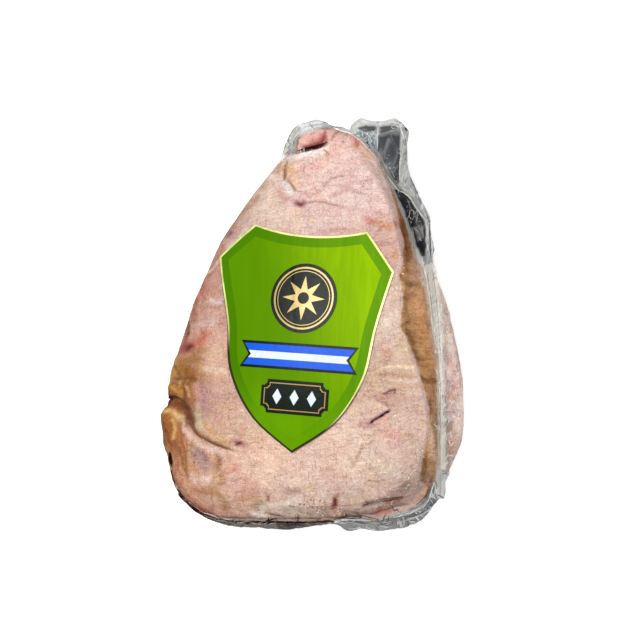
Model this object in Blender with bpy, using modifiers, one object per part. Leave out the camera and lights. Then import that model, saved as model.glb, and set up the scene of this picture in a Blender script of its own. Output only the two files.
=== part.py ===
"""A raw picanha, the cap of a beef rump, sealed in clear vacuum film, with a shield-shaped label on its fat side.

Metres, +Z up. The pack lies on its lean side at z = 0, fat side up, with the pointed end of the cut towards +Y.
The cut and the film drawn tight over it are one solid, and the label is a thin solid just clear of its top.
"""
import math

import bmesh
import bpy
import mathutils
import numpy as np

# Stations round the cut, counter-clockwise in plan from the tip. Each row is one section through the edge:
# x and y of the widest outline, how far inside it the rim of the top face lies and how high the rim is,
# the same for the ledge below the rim, and the height of the widest point.
STATIONS = (
    (0.008, 0.137, 0.012, 0.023, 0.0030, 0.018, 0.011),
    (-0.011, 0.131, 0.012, 0.024, 0.0030, 0.018, 0.011),
    (-0.025, 0.117, 0.014, 0.027, 0.0035, 0.020, 0.012),
    (-0.047, 0.094, 0.017, 0.031, 0.0040, 0.022, 0.013),
    (-0.074, 0.055, 0.021, 0.034, 0.0050, 0.024, 0.014),
    (-0.093, 0.012, 0.024, 0.036, 0.0055, 0.025, 0.015),
    (-0.107, -0.032, 0.026, 0.036, 0.0060, 0.025, 0.014),
    (-0.114, -0.072, 0.024, 0.035, 0.0060, 0.024, 0.013),
    (-0.105, -0.109, 0.019, 0.034, 0.0055, 0.023, 0.012),
    (-0.074, -0.131, 0.014, 0.035, 0.0040, 0.026, 0.013),
    (-0.015, -0.133, 0.011, 0.037, 0.0035, 0.028, 0.014),
    (0.038, -0.131, 0.011, 0.038, 0.0040, 0.027, 0.014),
    (0.078, -0.117, 0.015, 0.038, 0.0090, 0.024, 0.012),
    (0.099, -0.082, 0.017, 0.043, 0.0120, 0.025, 0.013),
    (0.102, -0.045, 0.022, 0.046, 0.0135, 0.026, 0.014),
    (0.096, -0.004, 0.026, 0.046, 0.0130, 0.026, 0.014),
    (0.081, 0.040, 0.014, 0.044, 0.0080, 0.026, 0.013),
    (0.060, 0.088, 0.008, 0.034, 0.0045, 0.024, 0.012),
    (0.035, 0.122, 0.009, 0.026, 0.0035, 0.019, 0.011),
)
CENTRE = np.array([-0.002, -0.030])     # every section runs out from here
CROWN_HEIGHT = 0.0475                   # top face above CENTRE
FOOT_INSET = 0.007                      # flat underside, inside the widest outline

# Relief of the fat side: routes in plan, half-width, and height (a fold) or depth (a crease)
TIP_ROLL = (((-0.009, 0.131), (0.008, 0.135), (0.026, 0.130)), 0.0065, 0.0035)
TIP_CREVICE = (((-0.014, 0.121), (0.006, 0.121), (0.023, 0.124)), 0.0045, -0.0025)
EDGE_LOBE_HIGH = (((-0.100, -0.030), (-0.093, -0.041)), 0.0080, 0.0022)
EDGE_LOBE_LOW = (((-0.110, -0.064), (-0.106, -0.082)), 0.0090, 0.0026)
EDGE_CREVICE = (((-0.112, -0.050), (-0.095, -0.053)), 0.0050, -0.0030)
LEFT_CREASE = (((-0.088, -0.060), (-0.083, -0.074), (-0.071, -0.081), (-0.045, -0.091)), 0.0055, -0.0022)
RIGHT_SLIT = (((0.047, -0.067), (0.062, -0.059)), 0.0050, -0.0016)
CORNER_FOLD = (((0.038, -0.123), (0.054, -0.118), (0.067, -0.110)), 0.0050, -0.0024)
WALL_NOTCH_HIGH = (((0.070, -0.004), (0.086, -0.004)), 0.0055, -0.0022)
WALL_NOTCH_LOW = (((0.080, -0.050), (0.092, -0.050)), 0.0055, -0.0022)
RELIEF = (TIP_ROLL, TIP_CREVICE, EDGE_LOBE_HIGH, EDGE_LOBE_LOW, EDGE_CREVICE, LEFT_CREASE, RIGHT_SLIT,
          CORNER_FOLD, WALL_NOTCH_HIGH, WALL_NOTCH_LOW)
RELIEF_FADE = (0.003, 0.010)            # heights between which the relief grows from nothing to full

# Outer edge of the sealed film beyond the cut, clockwise from the left of the tip: x, y, z.
# Both ends are inside the cut. It is a loose flap beside the tip, a tight strip on the ledge, and loose at the base.
FILM_EDGE = (
    (-0.024, 0.106, 0.012),
    (-0.028, 0.127, 0.010),
    (-0.017, 0.143, 0.009),
    (0.003, 0.145, 0.009),
    (0.019, 0.140, 0.011),
    (0.034, 0.142, 0.013),
    (0.060, 0.140, 0.014),
    (0.066, 0.128, 0.014),
    (0.066, 0.100, 0.012),
    (0.076, 0.078, 0.012),
    (0.083, 0.045, 0.015),
    (0.087, 0.012, 0.019),
    (0.094, -0.020, 0.023),
    (0.0955, -0.052, 0.024),
    (0.0945, -0.082, 0.021),
    (0.094, -0.104, 0.012),
    (0.086, -0.120, 0.007),
    (0.067, -0.134, 0.007),
    (0.040, -0.139, 0.008),
    (0.000, -0.138, 0.006),
    (-0.050, -0.137, 0.006),
    (-0.086, -0.130, 0.006),
    (-0.102, -0.116, 0.008),
    (-0.092, -0.100, 0.010),
)
FILM_ROOT = 0.82                        # where the film starts inside the cut, as a part of the way out to its outline
FILM_THICKNESS = 0.0013
FILM_WAVE_LENGTH = 0.021
FILM_WAVE_HEIGHT = 0.0014

# Label: a shield about its own axis, turned clockwise. x is across, y is up, on the right half and then on the left.
SHIELD_CENTRE = (-0.0015, -0.012)
SHIELD_TURN = math.radians(-5.0)
SHIELD_DIP = (0.001, 0.0695)            # middle of the hollow top edge
SHIELD_POINT = (0.000, -0.0735)
SHIELD_PEAKS = ((0.0402, 0.0735), (-0.0403, 0.0755))
SHIELD_CORNERS = ((0.0605, 0.0505), (-0.0680, 0.0535))
SHIELD_NECKS = ((0.0522, 0.0110), (-0.0560, 0.0110))
SHIELD_HIPS = ((0.0465, -0.0230), (-0.0495, -0.0230))
SHIELD_CHEEKS = ((0.0290, -0.0530), (-0.0300, -0.0530))
LABEL_GAP = 0.0003                      # clear of the pack
LABEL_THICKNESS = 0.0006

# The pack's box is centred on the origin by moving everything back by this much in x and y
BOX_MIDDLE = (-0.00673, 0.00307)

# Resolution
COLUMNS = 84                            # round the cut
TOP_RINGS, SIDE_RINGS, BOTTOM_RINGS = 15, 13, 4
CURVE_STEPS = 16                        # points of a smooth curve from one of its stations to the next
FILM_COLUMNS, FILM_ROWS = 116, 4
LABEL_COLUMNS, LABEL_ROWS = 26, 28

# Colours and roughness
FAT_COLOUR, FAT_ROUGHNESS = (0.78, 0.58, 0.48, 1.0), 0.30
LABEL_COLOUR, LABEL_ROUGHNESS = (0.15, 0.37, 0.01, 1.0), 0.35


def spline(points, closed):
    """Points of a smooth curve through the given rows, CURVE_STEPS to each span."""
    rows = np.array(points, float)
    count = len(rows)
    spans = count if closed else count - 1
    out = []
    for i in range(spans):
        if closed:
            a, b, c, d = (rows[(i + k) % count] for k in (-1, 0, 1, 2))
        else:
            a, b, c, d = (rows[min(max(i + k, 0), count - 1)] for k in (-1, 0, 1, 2))
        for step in range(CURVE_STEPS):
            s = step / CURVE_STEPS
            out.append(b + 0.5 * s * (c - a + s * (2 * a - 5 * b + 4 * c - d + s * (3 * (b - c) + d - a))))
    if not closed:
        out.append(rows[-1])
    return np.array(out)


def even(rows, count, closed):
    """The curve through the rows, read at even steps of its length in plan."""
    if closed:
        rows = np.vstack([rows, rows[:1]])
    length = np.concatenate([[0.0], np.cumsum(np.linalg.norm(np.diff(rows[:, :2], axis=0), axis=1))])
    where = np.linspace(0.0, length[-1], count, endpoint=not closed)
    return np.stack([np.interp(where, length, rows[:, k]) for k in range(rows.shape[1])], axis=1)


def section_rows(count):
    """One row per column round the cut: x, y, then the section's insets as parts of the way in, then its heights."""
    rows = even(spline(STATIONS, True), count, True)
    outline = rows[:, :2]
    along = np.roll(outline, -1, axis=0) - np.roll(outline, 1, axis=0)
    along /= np.linalg.norm(along, axis=1, keepdims=True)
    outward = np.stack([along[:, 1], -along[:, 0]], axis=1)
    reach = ((outline - CENTRE) * outward).sum(axis=1)
    rim, rim_z, ledge, ledge_z, belly_z = rows[:, 2:].T
    return outline, 1 - rim / reach, rim_z, 1 - ledge / reach, ledge_z, belly_z, 1 - FOOT_INSET / reach


def smooth_step(low, high, value):
    t = np.clip((value - low) / (high - low), 0.0, 1.0)
    return t * t * (3 - 2 * t)


def dome(part, rim_z):
    """Height of the top face at a part of the way from the centre out to the rim."""
    return rim_z + (CROWN_HEIGHT - rim_z) * (1 - part ** 2)


def side_point(q, rim, rim_z, ledge, ledge_z, belly_z, foot):
    """Scale and height at q = 0 on the rim, 1 on the ledge, 2 at the widest point and 3 at the foot."""
    before = 0.90
    ways = (rim * before, rim, ledge, np.ones_like(rim), foot, foot * before)
    heights = (dome(before, rim_z), rim_z, ledge_z, belly_z, 0 * belly_z, 0 * belly_z)
    i = min(int(q), 2)
    s = q - i
    found = []
    for values in (ways, heights):
        a, b, c, d = values[i:i + 4]
        found.append(b + 0.5 * s * (c - a + s * (2 * a - 5 * b + 4 * c - d + s * (3 * (b - c) + d - a))))
    return found[0], np.maximum(found[1], 0.0)


def route_distance(x, y, route):
    """Distance in plan from each point to a route of straight runs."""
    best = np.full(np.shape(x), 1e9)
    for (ax, ay), (bx, by) in zip(route, route[1:]):
        dx, dy = bx - ax, by - ay
        t = np.clip(((x - ax) * dx + (y - ay) * dy) / (dx * dx + dy * dy), 0.0, 1.0)
        best = np.minimum(best, np.hypot(x - ax - t * dx, y - ay - t * dy))
    return best


def relief(points):
    """How far the folds and creases lift each point off the plain form."""
    x, y, z = points[..., 0], points[..., 1], points[..., 2]
    lift = sum(height * np.exp(-(route_distance(x, y, route) / half_width) ** 2)
               for route, half_width, height in RELIEF)
    return lift * smooth_step(*RELIEF_FADE, z)


def cut_grid():
    """The surface of the cut: rings from the middle of the top face to the middle of the underside."""
    outline, rim, rim_z, ledge, ledge_z, belly_z, foot = section_rows(COLUMNS)
    rings = []
    for ring in range(1, TOP_RINGS + SIDE_RINGS + BOTTOM_RINGS):
        if ring <= TOP_RINGS:
            part = ring / TOP_RINGS
            way, height = part * rim, dome(part, rim_z)
        elif ring <= TOP_RINGS + SIDE_RINGS:
            q = 3 * (ring - TOP_RINGS) / SIDE_RINGS
            way, height = side_point(q, rim, rim_z, ledge, ledge_z, belly_z, foot)
        else:
            part = (TOP_RINGS + SIDE_RINGS + BOTTOM_RINGS - ring) / BOTTOM_RINGS
            way, height = part * foot, 0 * rim_z
        plan = CENTRE + (outline - CENTRE) * way[:, None]
        rings.append(np.column_stack([plan, height]))
    grid = np.array(rings)
    around = np.roll(grid, -1, axis=1) - np.roll(grid, 1, axis=1)
    down = np.gradient(grid, axis=0)
    normal = np.cross(down, around)
    normal /= np.linalg.norm(normal, axis=2, keepdims=True)
    return grid + normal * relief(grid)[..., None]


def top_height(x, y):
    """Height of the plain form, seen from above, at a place inside its ledge."""
    outline, *section = section_rows(COLUMNS * CURVE_STEPS)
    offset = outline - CENTRE
    bearing = np.arctan2(offset[:, 1], offset[:, 0])
    place = np.array([x, y]) - CENTRE
    here = math.atan2(place[1], place[0])
    column = np.argmin(np.abs((bearing - here + math.pi) % math.tau - math.pi))
    way = np.linalg.norm(place) / np.linalg.norm(offset[column])
    rim, rim_z = section[0][column], section[1][column]
    if way < rim:
        return float(dome(way / rim, rim_z))
    row = [np.array([values[column]]) for values in section]
    side = np.array([side_point(step / CURVE_STEPS, *row) for step in range(CURVE_STEPS + 1)])[..., 0]
    return float(np.interp(way, side[:, 0], side[:, 1]))


def material(name, colour, roughness):
    made = bpy.data.materials.new(name)
    made.use_nodes = True
    shader = made.node_tree.nodes["Principled BSDF"]
    shader.inputs["Base Color"].default_value = colour
    shader.inputs["Roughness"].default_value = roughness
    shader.inputs["Metallic"].default_value = 0.0
    return made


def add_object(name, mesh, collection):
    made = bpy.data.objects.new(name, mesh)
    collection.objects.link(made)
    return made


def apply_modifiers(target):
    """Swap the object's mesh for the one that its modifiers give."""
    bpy.context.view_layer.update()
    graph = bpy.context.evaluated_depsgraph_get()
    mesh = bpy.data.meshes.new_from_object(target.evaluated_get(graph))
    target.modifiers.clear()
    target.data = mesh


def boolean(target, other, operation, solver="EXACT"):
    """Join or cut the target with another object, which is then removed."""
    cut = target.modifiers.new(operation.title(), "BOOLEAN")
    cut.operation = operation
    cut.solver = solver
    cut.object = other
    apply_modifiers(target)
    bpy.data.objects.remove(other)


def make_cut(collection):
    """The cut of meat with the film tight on it, from a sphere whose points move to the sections."""
    ring_count = TOP_RINGS + SIDE_RINGS + BOTTOM_RINGS
    grid = cut_grid()
    bm = bmesh.new()
    bmesh.ops.create_uvsphere(bm, u_segments=COLUMNS, v_segments=ring_count, radius=1.0)
    for vert in bm.verts:
        ring = round(math.acos(max(-1.0, min(1.0, vert.co.z))) / math.pi * ring_count)
        column = round(math.atan2(vert.co.y, vert.co.x) / math.tau * COLUMNS) % COLUMNS
        if ring == 0:
            vert.co = (*CENTRE, CROWN_HEIGHT)
        elif ring == ring_count:
            vert.co = (*CENTRE, 0.0)
        else:
            vert.co = grid[ring - 1, column]
    mesh = bpy.data.meshes.new("cut")
    bm.to_mesh(mesh)
    bm.free()
    return add_object("vacuum_pack", mesh, collection)


def make_film(collection):
    """The loose margin of the film: a wavy strip from inside the cut out to its own edge."""
    edge = even(spline(FILM_EDGE, False), FILM_COLUMNS + 1, False)
    length = np.linalg.norm(np.diff(edge[:, :2], axis=0), axis=1).sum()
    outline = section_rows(COLUMNS)[0]
    bearing = np.arctan2(*(outline - CENTRE).T[::-1])
    bm = bmesh.new()
    bmesh.ops.create_grid(bm, x_segments=FILM_COLUMNS, y_segments=FILM_ROWS, size=1.0)
    for vert in bm.verts:
        column = round((vert.co.x + 1) / 2 * FILM_COLUMNS)
        across = (vert.co.y + 1) / 2
        outer = edge[column]
        here = math.atan2(*(outer[:2] - CENTRE)[::-1])
        nearest = np.argmin(np.abs((bearing - here + math.pi) % math.tau - math.pi))
        root = CENTRE + (outline[nearest] - CENTRE) * FILM_ROOT
        plan = root + (outer[:2] - root) * across
        wave = FILM_WAVE_HEIGHT * across * math.sin(math.tau * length * column / FILM_COLUMNS / FILM_WAVE_LENGTH)
        vert.co = (plan[0], plan[1], outer[2] + wave)
    mesh = bpy.data.meshes.new("film")
    bm.to_mesh(mesh)
    bm.free()
    film = add_object("film", mesh, collection)
    thick = film.modifiers.new("Thickness", "SOLIDIFY")
    thick.thickness = FILM_THICKNESS
    thick.offset = 0.0
    apply_modifiers(film)
    return film


def shield_outline():
    """The label's edge in its own plane, clockwise from the middle of the top."""
    def side(hand):
        curve = spline((SHIELD_CORNERS[hand], SHIELD_NECKS[hand], SHIELD_HIPS[hand], SHIELD_CHEEKS[hand],
                        SHIELD_POINT), False)
        return [SHIELD_PEAKS[hand]] + [tuple(p) for p in curve[::CURVE_STEPS // 4]]
    right, left = side(0), side(1)
    return [SHIELD_DIP] + right + left[-2::-1]


def place_on_pack(across, up):
    """Plan position of a point of the label."""
    c, s = math.cos(SHIELD_TURN), math.sin(SHIELD_TURN)
    return SHIELD_CENTRE[0] + c * across - s * up, SHIELD_CENTRE[1] + s * across + c * up


def make_label(collection, cutters):
    """The label: a thin slab laid over the top face, cut to the shield."""
    edge = shield_outline()
    half_width = max(abs(x) for x, _ in edge) + LABEL_THICKNESS
    half_height = max(abs(y) for _, y in edge) + LABEL_THICKNESS
    bm = bmesh.new()
    bmesh.ops.create_grid(bm, x_segments=LABEL_COLUMNS, y_segments=LABEL_ROWS, size=1.0)
    for vert in bm.verts:
        x, y = place_on_pack(vert.co.x * half_width, vert.co.y * half_height)
        vert.co = (x, y, top_height(x, y) + LABEL_GAP + LABEL_THICKNESS / 2)
    mesh = bpy.data.meshes.new("label")
    bm.to_mesh(mesh)
    bm.free()
    label = add_object("label", mesh, collection)
    thick = label.modifiers.new("Thickness", "SOLIDIFY")
    thick.thickness = LABEL_THICKNESS
    thick.offset = 0.0

    curve = bpy.data.curves.new("shield", "CURVE")
    curve.dimensions = "2D"
    curve.fill_mode = "BOTH"
    curve.extrude = 2 * CROWN_HEIGHT
    line = curve.splines.new("POLY")
    line.points.add(len(edge) - 1)
    line.use_cyclic_u = True
    for point, place in zip(line.points, edge):
        point.co = (*place_on_pack(*place), 0.0, 1.0)
    drawn = add_object("shield_curve", curve, cutters)
    bpy.context.view_layer.update()
    prism = bpy.data.meshes.new_from_object(drawn.evaluated_get(bpy.context.evaluated_depsgraph_get()))
    bpy.data.objects.remove(drawn)
    bm = bmesh.new()
    bm.from_mesh(prism)
    bmesh.ops.remove_doubles(bm, verts=bm.verts, dist=1e-6)
    bmesh.ops.recalc_face_normals(bm, faces=bm.faces)
    bm.to_mesh(prism)
    bm.free()
    apply_modifiers(label)
    boolean(label, add_object("shield", prism, cutters), "INTERSECT")
    return label


def finish(target, looks):
    """Centre the object in plan, colour it and shade it smooth."""
    target.data.transform(mathutils.Matrix.Translation((-BOX_MIDDLE[0], -BOX_MIDDLE[1], 0.0)))
    target.data.materials.clear()
    target.data.materials.append(looks)
    target.data.shade_smooth()
    target.data.set_sharp_from_angle(angle=math.radians(45))


def main():
    for old in list(bpy.data.objects):
        bpy.data.objects.remove(old)
    pack = bpy.data.collections.new("raw_picanha")
    cutters = bpy.data.collections.new("cutters")
    for collection in (pack, cutters):
        bpy.context.scene.collection.children.link(collection)
    body = make_cut(pack)
    boolean(body, make_film(pack), "UNION", "MANIFOLD")
    finish(body, material("fat", FAT_COLOUR, FAT_ROUGHNESS))
    finish(make_label(pack, cutters), material("label_green", LABEL_COLOUR, LABEL_ROUGHNESS))


main()
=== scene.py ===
"""Looks of a raw picanha sealed in clear vacuum film, with a shield-shaped label on its fat side.

Metres. Places in plan are drawn about the point that the CAD source draws about, and are moved by
TO_BOX_MIDDLE when a mesh is made.
"""
import math

import bmesh
import bpy
import numpy as np
from mathutils import Matrix, Vector
from mathutils.bvhtree import BVHTree


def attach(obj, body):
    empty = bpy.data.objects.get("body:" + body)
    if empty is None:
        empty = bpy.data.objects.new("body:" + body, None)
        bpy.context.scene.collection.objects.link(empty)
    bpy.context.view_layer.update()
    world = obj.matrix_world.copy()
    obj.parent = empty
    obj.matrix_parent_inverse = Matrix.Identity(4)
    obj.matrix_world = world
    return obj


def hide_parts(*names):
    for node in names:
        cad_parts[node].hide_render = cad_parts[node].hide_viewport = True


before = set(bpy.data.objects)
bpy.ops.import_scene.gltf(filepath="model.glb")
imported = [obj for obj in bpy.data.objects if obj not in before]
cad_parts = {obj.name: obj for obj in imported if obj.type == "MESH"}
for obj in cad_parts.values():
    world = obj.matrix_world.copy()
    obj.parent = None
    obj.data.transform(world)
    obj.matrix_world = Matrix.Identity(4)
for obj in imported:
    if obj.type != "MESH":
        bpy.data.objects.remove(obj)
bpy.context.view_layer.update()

# The form of the cut, as the CAD source has it. Stations run counter-clockwise in plan from the tip, one
# section each: x and y of the widest outline, inset and height of the rim, inset and height of the ledge,
# height of the widest point.
STATIONS = (
    (0.008, 0.137, 0.012, 0.023, 0.0030, 0.018, 0.011),
    (-0.011, 0.131, 0.012, 0.024, 0.0030, 0.018, 0.011),
    (-0.025, 0.117, 0.014, 0.027, 0.0035, 0.020, 0.012),
    (-0.047, 0.094, 0.017, 0.031, 0.0040, 0.022, 0.013),
    (-0.074, 0.055, 0.021, 0.034, 0.0050, 0.024, 0.014),
    (-0.093, 0.012, 0.024, 0.036, 0.0055, 0.025, 0.015),
    (-0.107, -0.032, 0.026, 0.036, 0.0060, 0.025, 0.014),
    (-0.114, -0.072, 0.024, 0.035, 0.0060, 0.024, 0.013),
    (-0.105, -0.109, 0.019, 0.034, 0.0055, 0.023, 0.012),
    (-0.074, -0.131, 0.014, 0.035, 0.0040, 0.026, 0.013),
    (-0.015, -0.133, 0.011, 0.037, 0.0035, 0.028, 0.014),
    (0.038, -0.131, 0.011, 0.038, 0.0040, 0.027, 0.014),
    (0.078, -0.117, 0.015, 0.038, 0.0090, 0.024, 0.012),
    (0.099, -0.082, 0.017, 0.043, 0.0120, 0.025, 0.013),
    (0.102, -0.045, 0.022, 0.046, 0.0135, 0.026, 0.014),
    (0.096, -0.004, 0.026, 0.046, 0.0130, 0.026, 0.014),
    (0.081, 0.040, 0.014, 0.044, 0.0080, 0.026, 0.013),
    (0.060, 0.088, 0.008, 0.034, 0.0045, 0.024, 0.012),
    (0.035, 0.122, 0.009, 0.026, 0.0035, 0.019, 0.011),
)
# Height at each station where the fat cap ends and the lean meat shows below it
FAT_HEM = (0.006, 0.006, 0.007, 0.008, 0.008, 0.008, 0.010, 0.014, 0.019, 0.024, 0.0255, 0.024, 0.012,
           0.004, 0.004, 0.004, 0.004, 0.005, 0.006)
# Places where the hem is cut back further: x, y, reach and rise
HEM_NOTCHES = ((-0.111, -0.053, 0.0055, 0.007), (-0.110, -0.091, 0.0120, 0.004),
               (-0.104, -0.110, 0.0100, 0.003))
CENTRE = np.array([-0.002, -0.030])
CROWN_HEIGHT = 0.0475
FOOT_INSET = 0.007
TO_BOX_MIDDLE = np.array([-0.00673, 0.00307, 0.0])
CURVE_STEPS = 16
# How far the section's curve is led on inside the rim and the foot, as a part of the way out
BEYOND_ENDS = 0.90
# Steps down the section at which its height is looked up
WHOLE_SIDE_STEPS = np.linspace(0, 3, 241)
UPPER_SIDE_STEPS = np.linspace(0, 2, 121)
# A fine section to look places up in
FINE_COLUMNS = 2048
# Columns round the cut, rings on its top and rings down its side
FAT_GRID = (900, 112, 48)
LEAN_GRID = (300, 24, 60)
SKIN_GRID = (400, 84, 56)
# The share of the way out that the first tenth of the fat's rings covers, where the label hides most of them
FAT_CORE = 0.42
# The hem's turn under the fat: how far in and how far up
HEM_TURN = ((0.0008, -0.0004), (0.0020, -0.0003), (0.0032, 0.0006), (0.0042, 0.0024))
# Flat rings below a closed body
UNDER_RINGS = 14
# Columns along the loose film, rows up the wall of the cut and rows out to the film's edge
MARGIN_GRID = (1000, 30, 30)
TINY = 1e-12
# What the noise of places is mixed with
NOISE_FACTORS = np.array([374761393, 668265263, 974634777])
NOISE_MIX = 1274126177
NOISE_SEED_STEP = 69069

# The loose margin of the film, clockwise from the left of the tip: the pixel of the photo's frame and the
# height in metres of its outer edge
FILM_EDGE = (
    (279, 166, 0.012), (283, 152, 0.010), (284, 146, 0.010), (288, 138, 0.009), (293, 130, 0.009),
    (298, 125, 0.009),
    (303, 122.5, 0.009), (310, 121, 0.009), (318, 119.5, 0.009), (326, 122, 0.010), (334, 125.2, 0.011),
    (342, 127.2, 0.012), (349.5, 128.8, 0.012), (351.5, 124, 0.013), (357, 119.6, 0.014),
    (362, 118.2, 0.014),
    (371, 120.6, 0.014), (380, 120.8, 0.014), (388, 119.6, 0.014), (395, 118.6, 0.014), (401, 121.4, 0.014),
    (407, 128, 0.014), (409, 134, 0.014), (408, 145, 0.013), (407, 155, 0.012), (408, 165, 0.012),
    (411, 175, 0.012),
    (416, 187, 0.012), (420.5, 197, 0.012), (425.5, 208, 0.012), (430, 217, 0.012), (431.5, 226, 0.013),
    (432, 236, 0.013), (434, 248, 0.014), (434.5, 262, 0.015), (438, 280, 0.017), (441.5, 300, 0.020),
    (443, 320, 0.022), (444, 340, 0.024), (445, 370, 0.025), (446, 400, 0.024), (446.5, 430, 0.022),
    (446.5, 455, 0.018), (448, 469, 0.014), (449, 474, 0.012), (446, 481, 0.010), (445, 490, 0.008),
    (444.6, 498.6, 0.007), (440, 499, 0.007), (436, 504, 0.007), (428, 512.5, 0.007), (420, 521, 0.007),
    (410, 526, 0.007), (400, 528.4, 0.007), (390, 530, 0.007), (378, 531, 0.007), (362, 529, 0.007),
    (348, 531, 0.007),
    (340, 526.4, 0.006), (333, 523.4, 0.006), (325, 524, 0.006), (312, 526.4, 0.006), (300, 527.4, 0.006),
    (286, 529.6, 0.006), (262, 528, 0.006), (238, 527, 0.006), (218, 523, 0.006), (204.6, 516.8, 0.007),
    (193.6, 508.6, 0.008), (187, 501, 0.010), (183, 494, 0.012),
)
FILM_WAVE_LENGTH = 0.021
FILM_WAVE_HEIGHT = 0.0014
FILM_LEAST_HEIGHT = 0.0012

# The label's own plane: its middle and turn on the pack
SHIELD_CENTRE = (-0.0015, -0.012)
SHIELD_TURN = math.radians(-5.0)
SHIELD_DIP = (0.001, 0.0712)
SHIELD_POINT = (0.0001, -0.0749)
SHIELD_PEAKS = ((0.0386, 0.0758), (-0.0438, 0.0783))
SHIELD_CORNERS = ((0.0606, 0.0495), (-0.0703, 0.0550))
SHIELD_NECKS = ((0.0522, 0.0110), (-0.0560, 0.0110))
SHIELD_HIPS = ((0.0465, -0.0230), (-0.0495, -0.0230))
SHIELD_CHEEKS = ((0.0290, -0.0530), (-0.0300, -0.0530))
# The fat is calm under the label: heights on the label and its half-widths there
SHIELD_HALF_WIDTHS = ((-0.076, -0.053, -0.023, 0.011, 0.052, 0.077),
                      (0.0, 0.031, 0.050, 0.057, 0.073, 0.047))
SHIELD_HALF_HEIGHT = 0.076
# The print: how thick each layer is, how far one lies above another and the net that lets it bend
PRINT_THICKNESS = 0.00022
PRINT_STEP = 0.00010
PRINT_CELL = 0.002
RIBBON_UP = -0.0110
RIBBON_STRIPES = (0.0396, 0.0072, 0.0056)
ROUNDEL = (0.0, 0.0285)
PLAQUE = (0.0, -0.0382)

# Layers, measured from the plain form
FAT_LIFT = -0.0006
LEAN_LIFT = -0.0014
LEAN_UNDER_FAT = -0.0065
SKIN_LIFT = 0.00012
LABEL_LIFT = 0.0003
FILM_LIFT = 0.0004
LEFT_RIM_EXTRA = 0.0005
# Narrow lines: how far their edges and their middles stand off the surface
LINE_EDGE_RISE = 0.00006
WRINKLE_RISE = 0.00035
GLINT_RISE = 0.00025
JUICE_AND_SHADE_RISE = 0.00018
CRACKLE_SEED = 11

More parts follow.
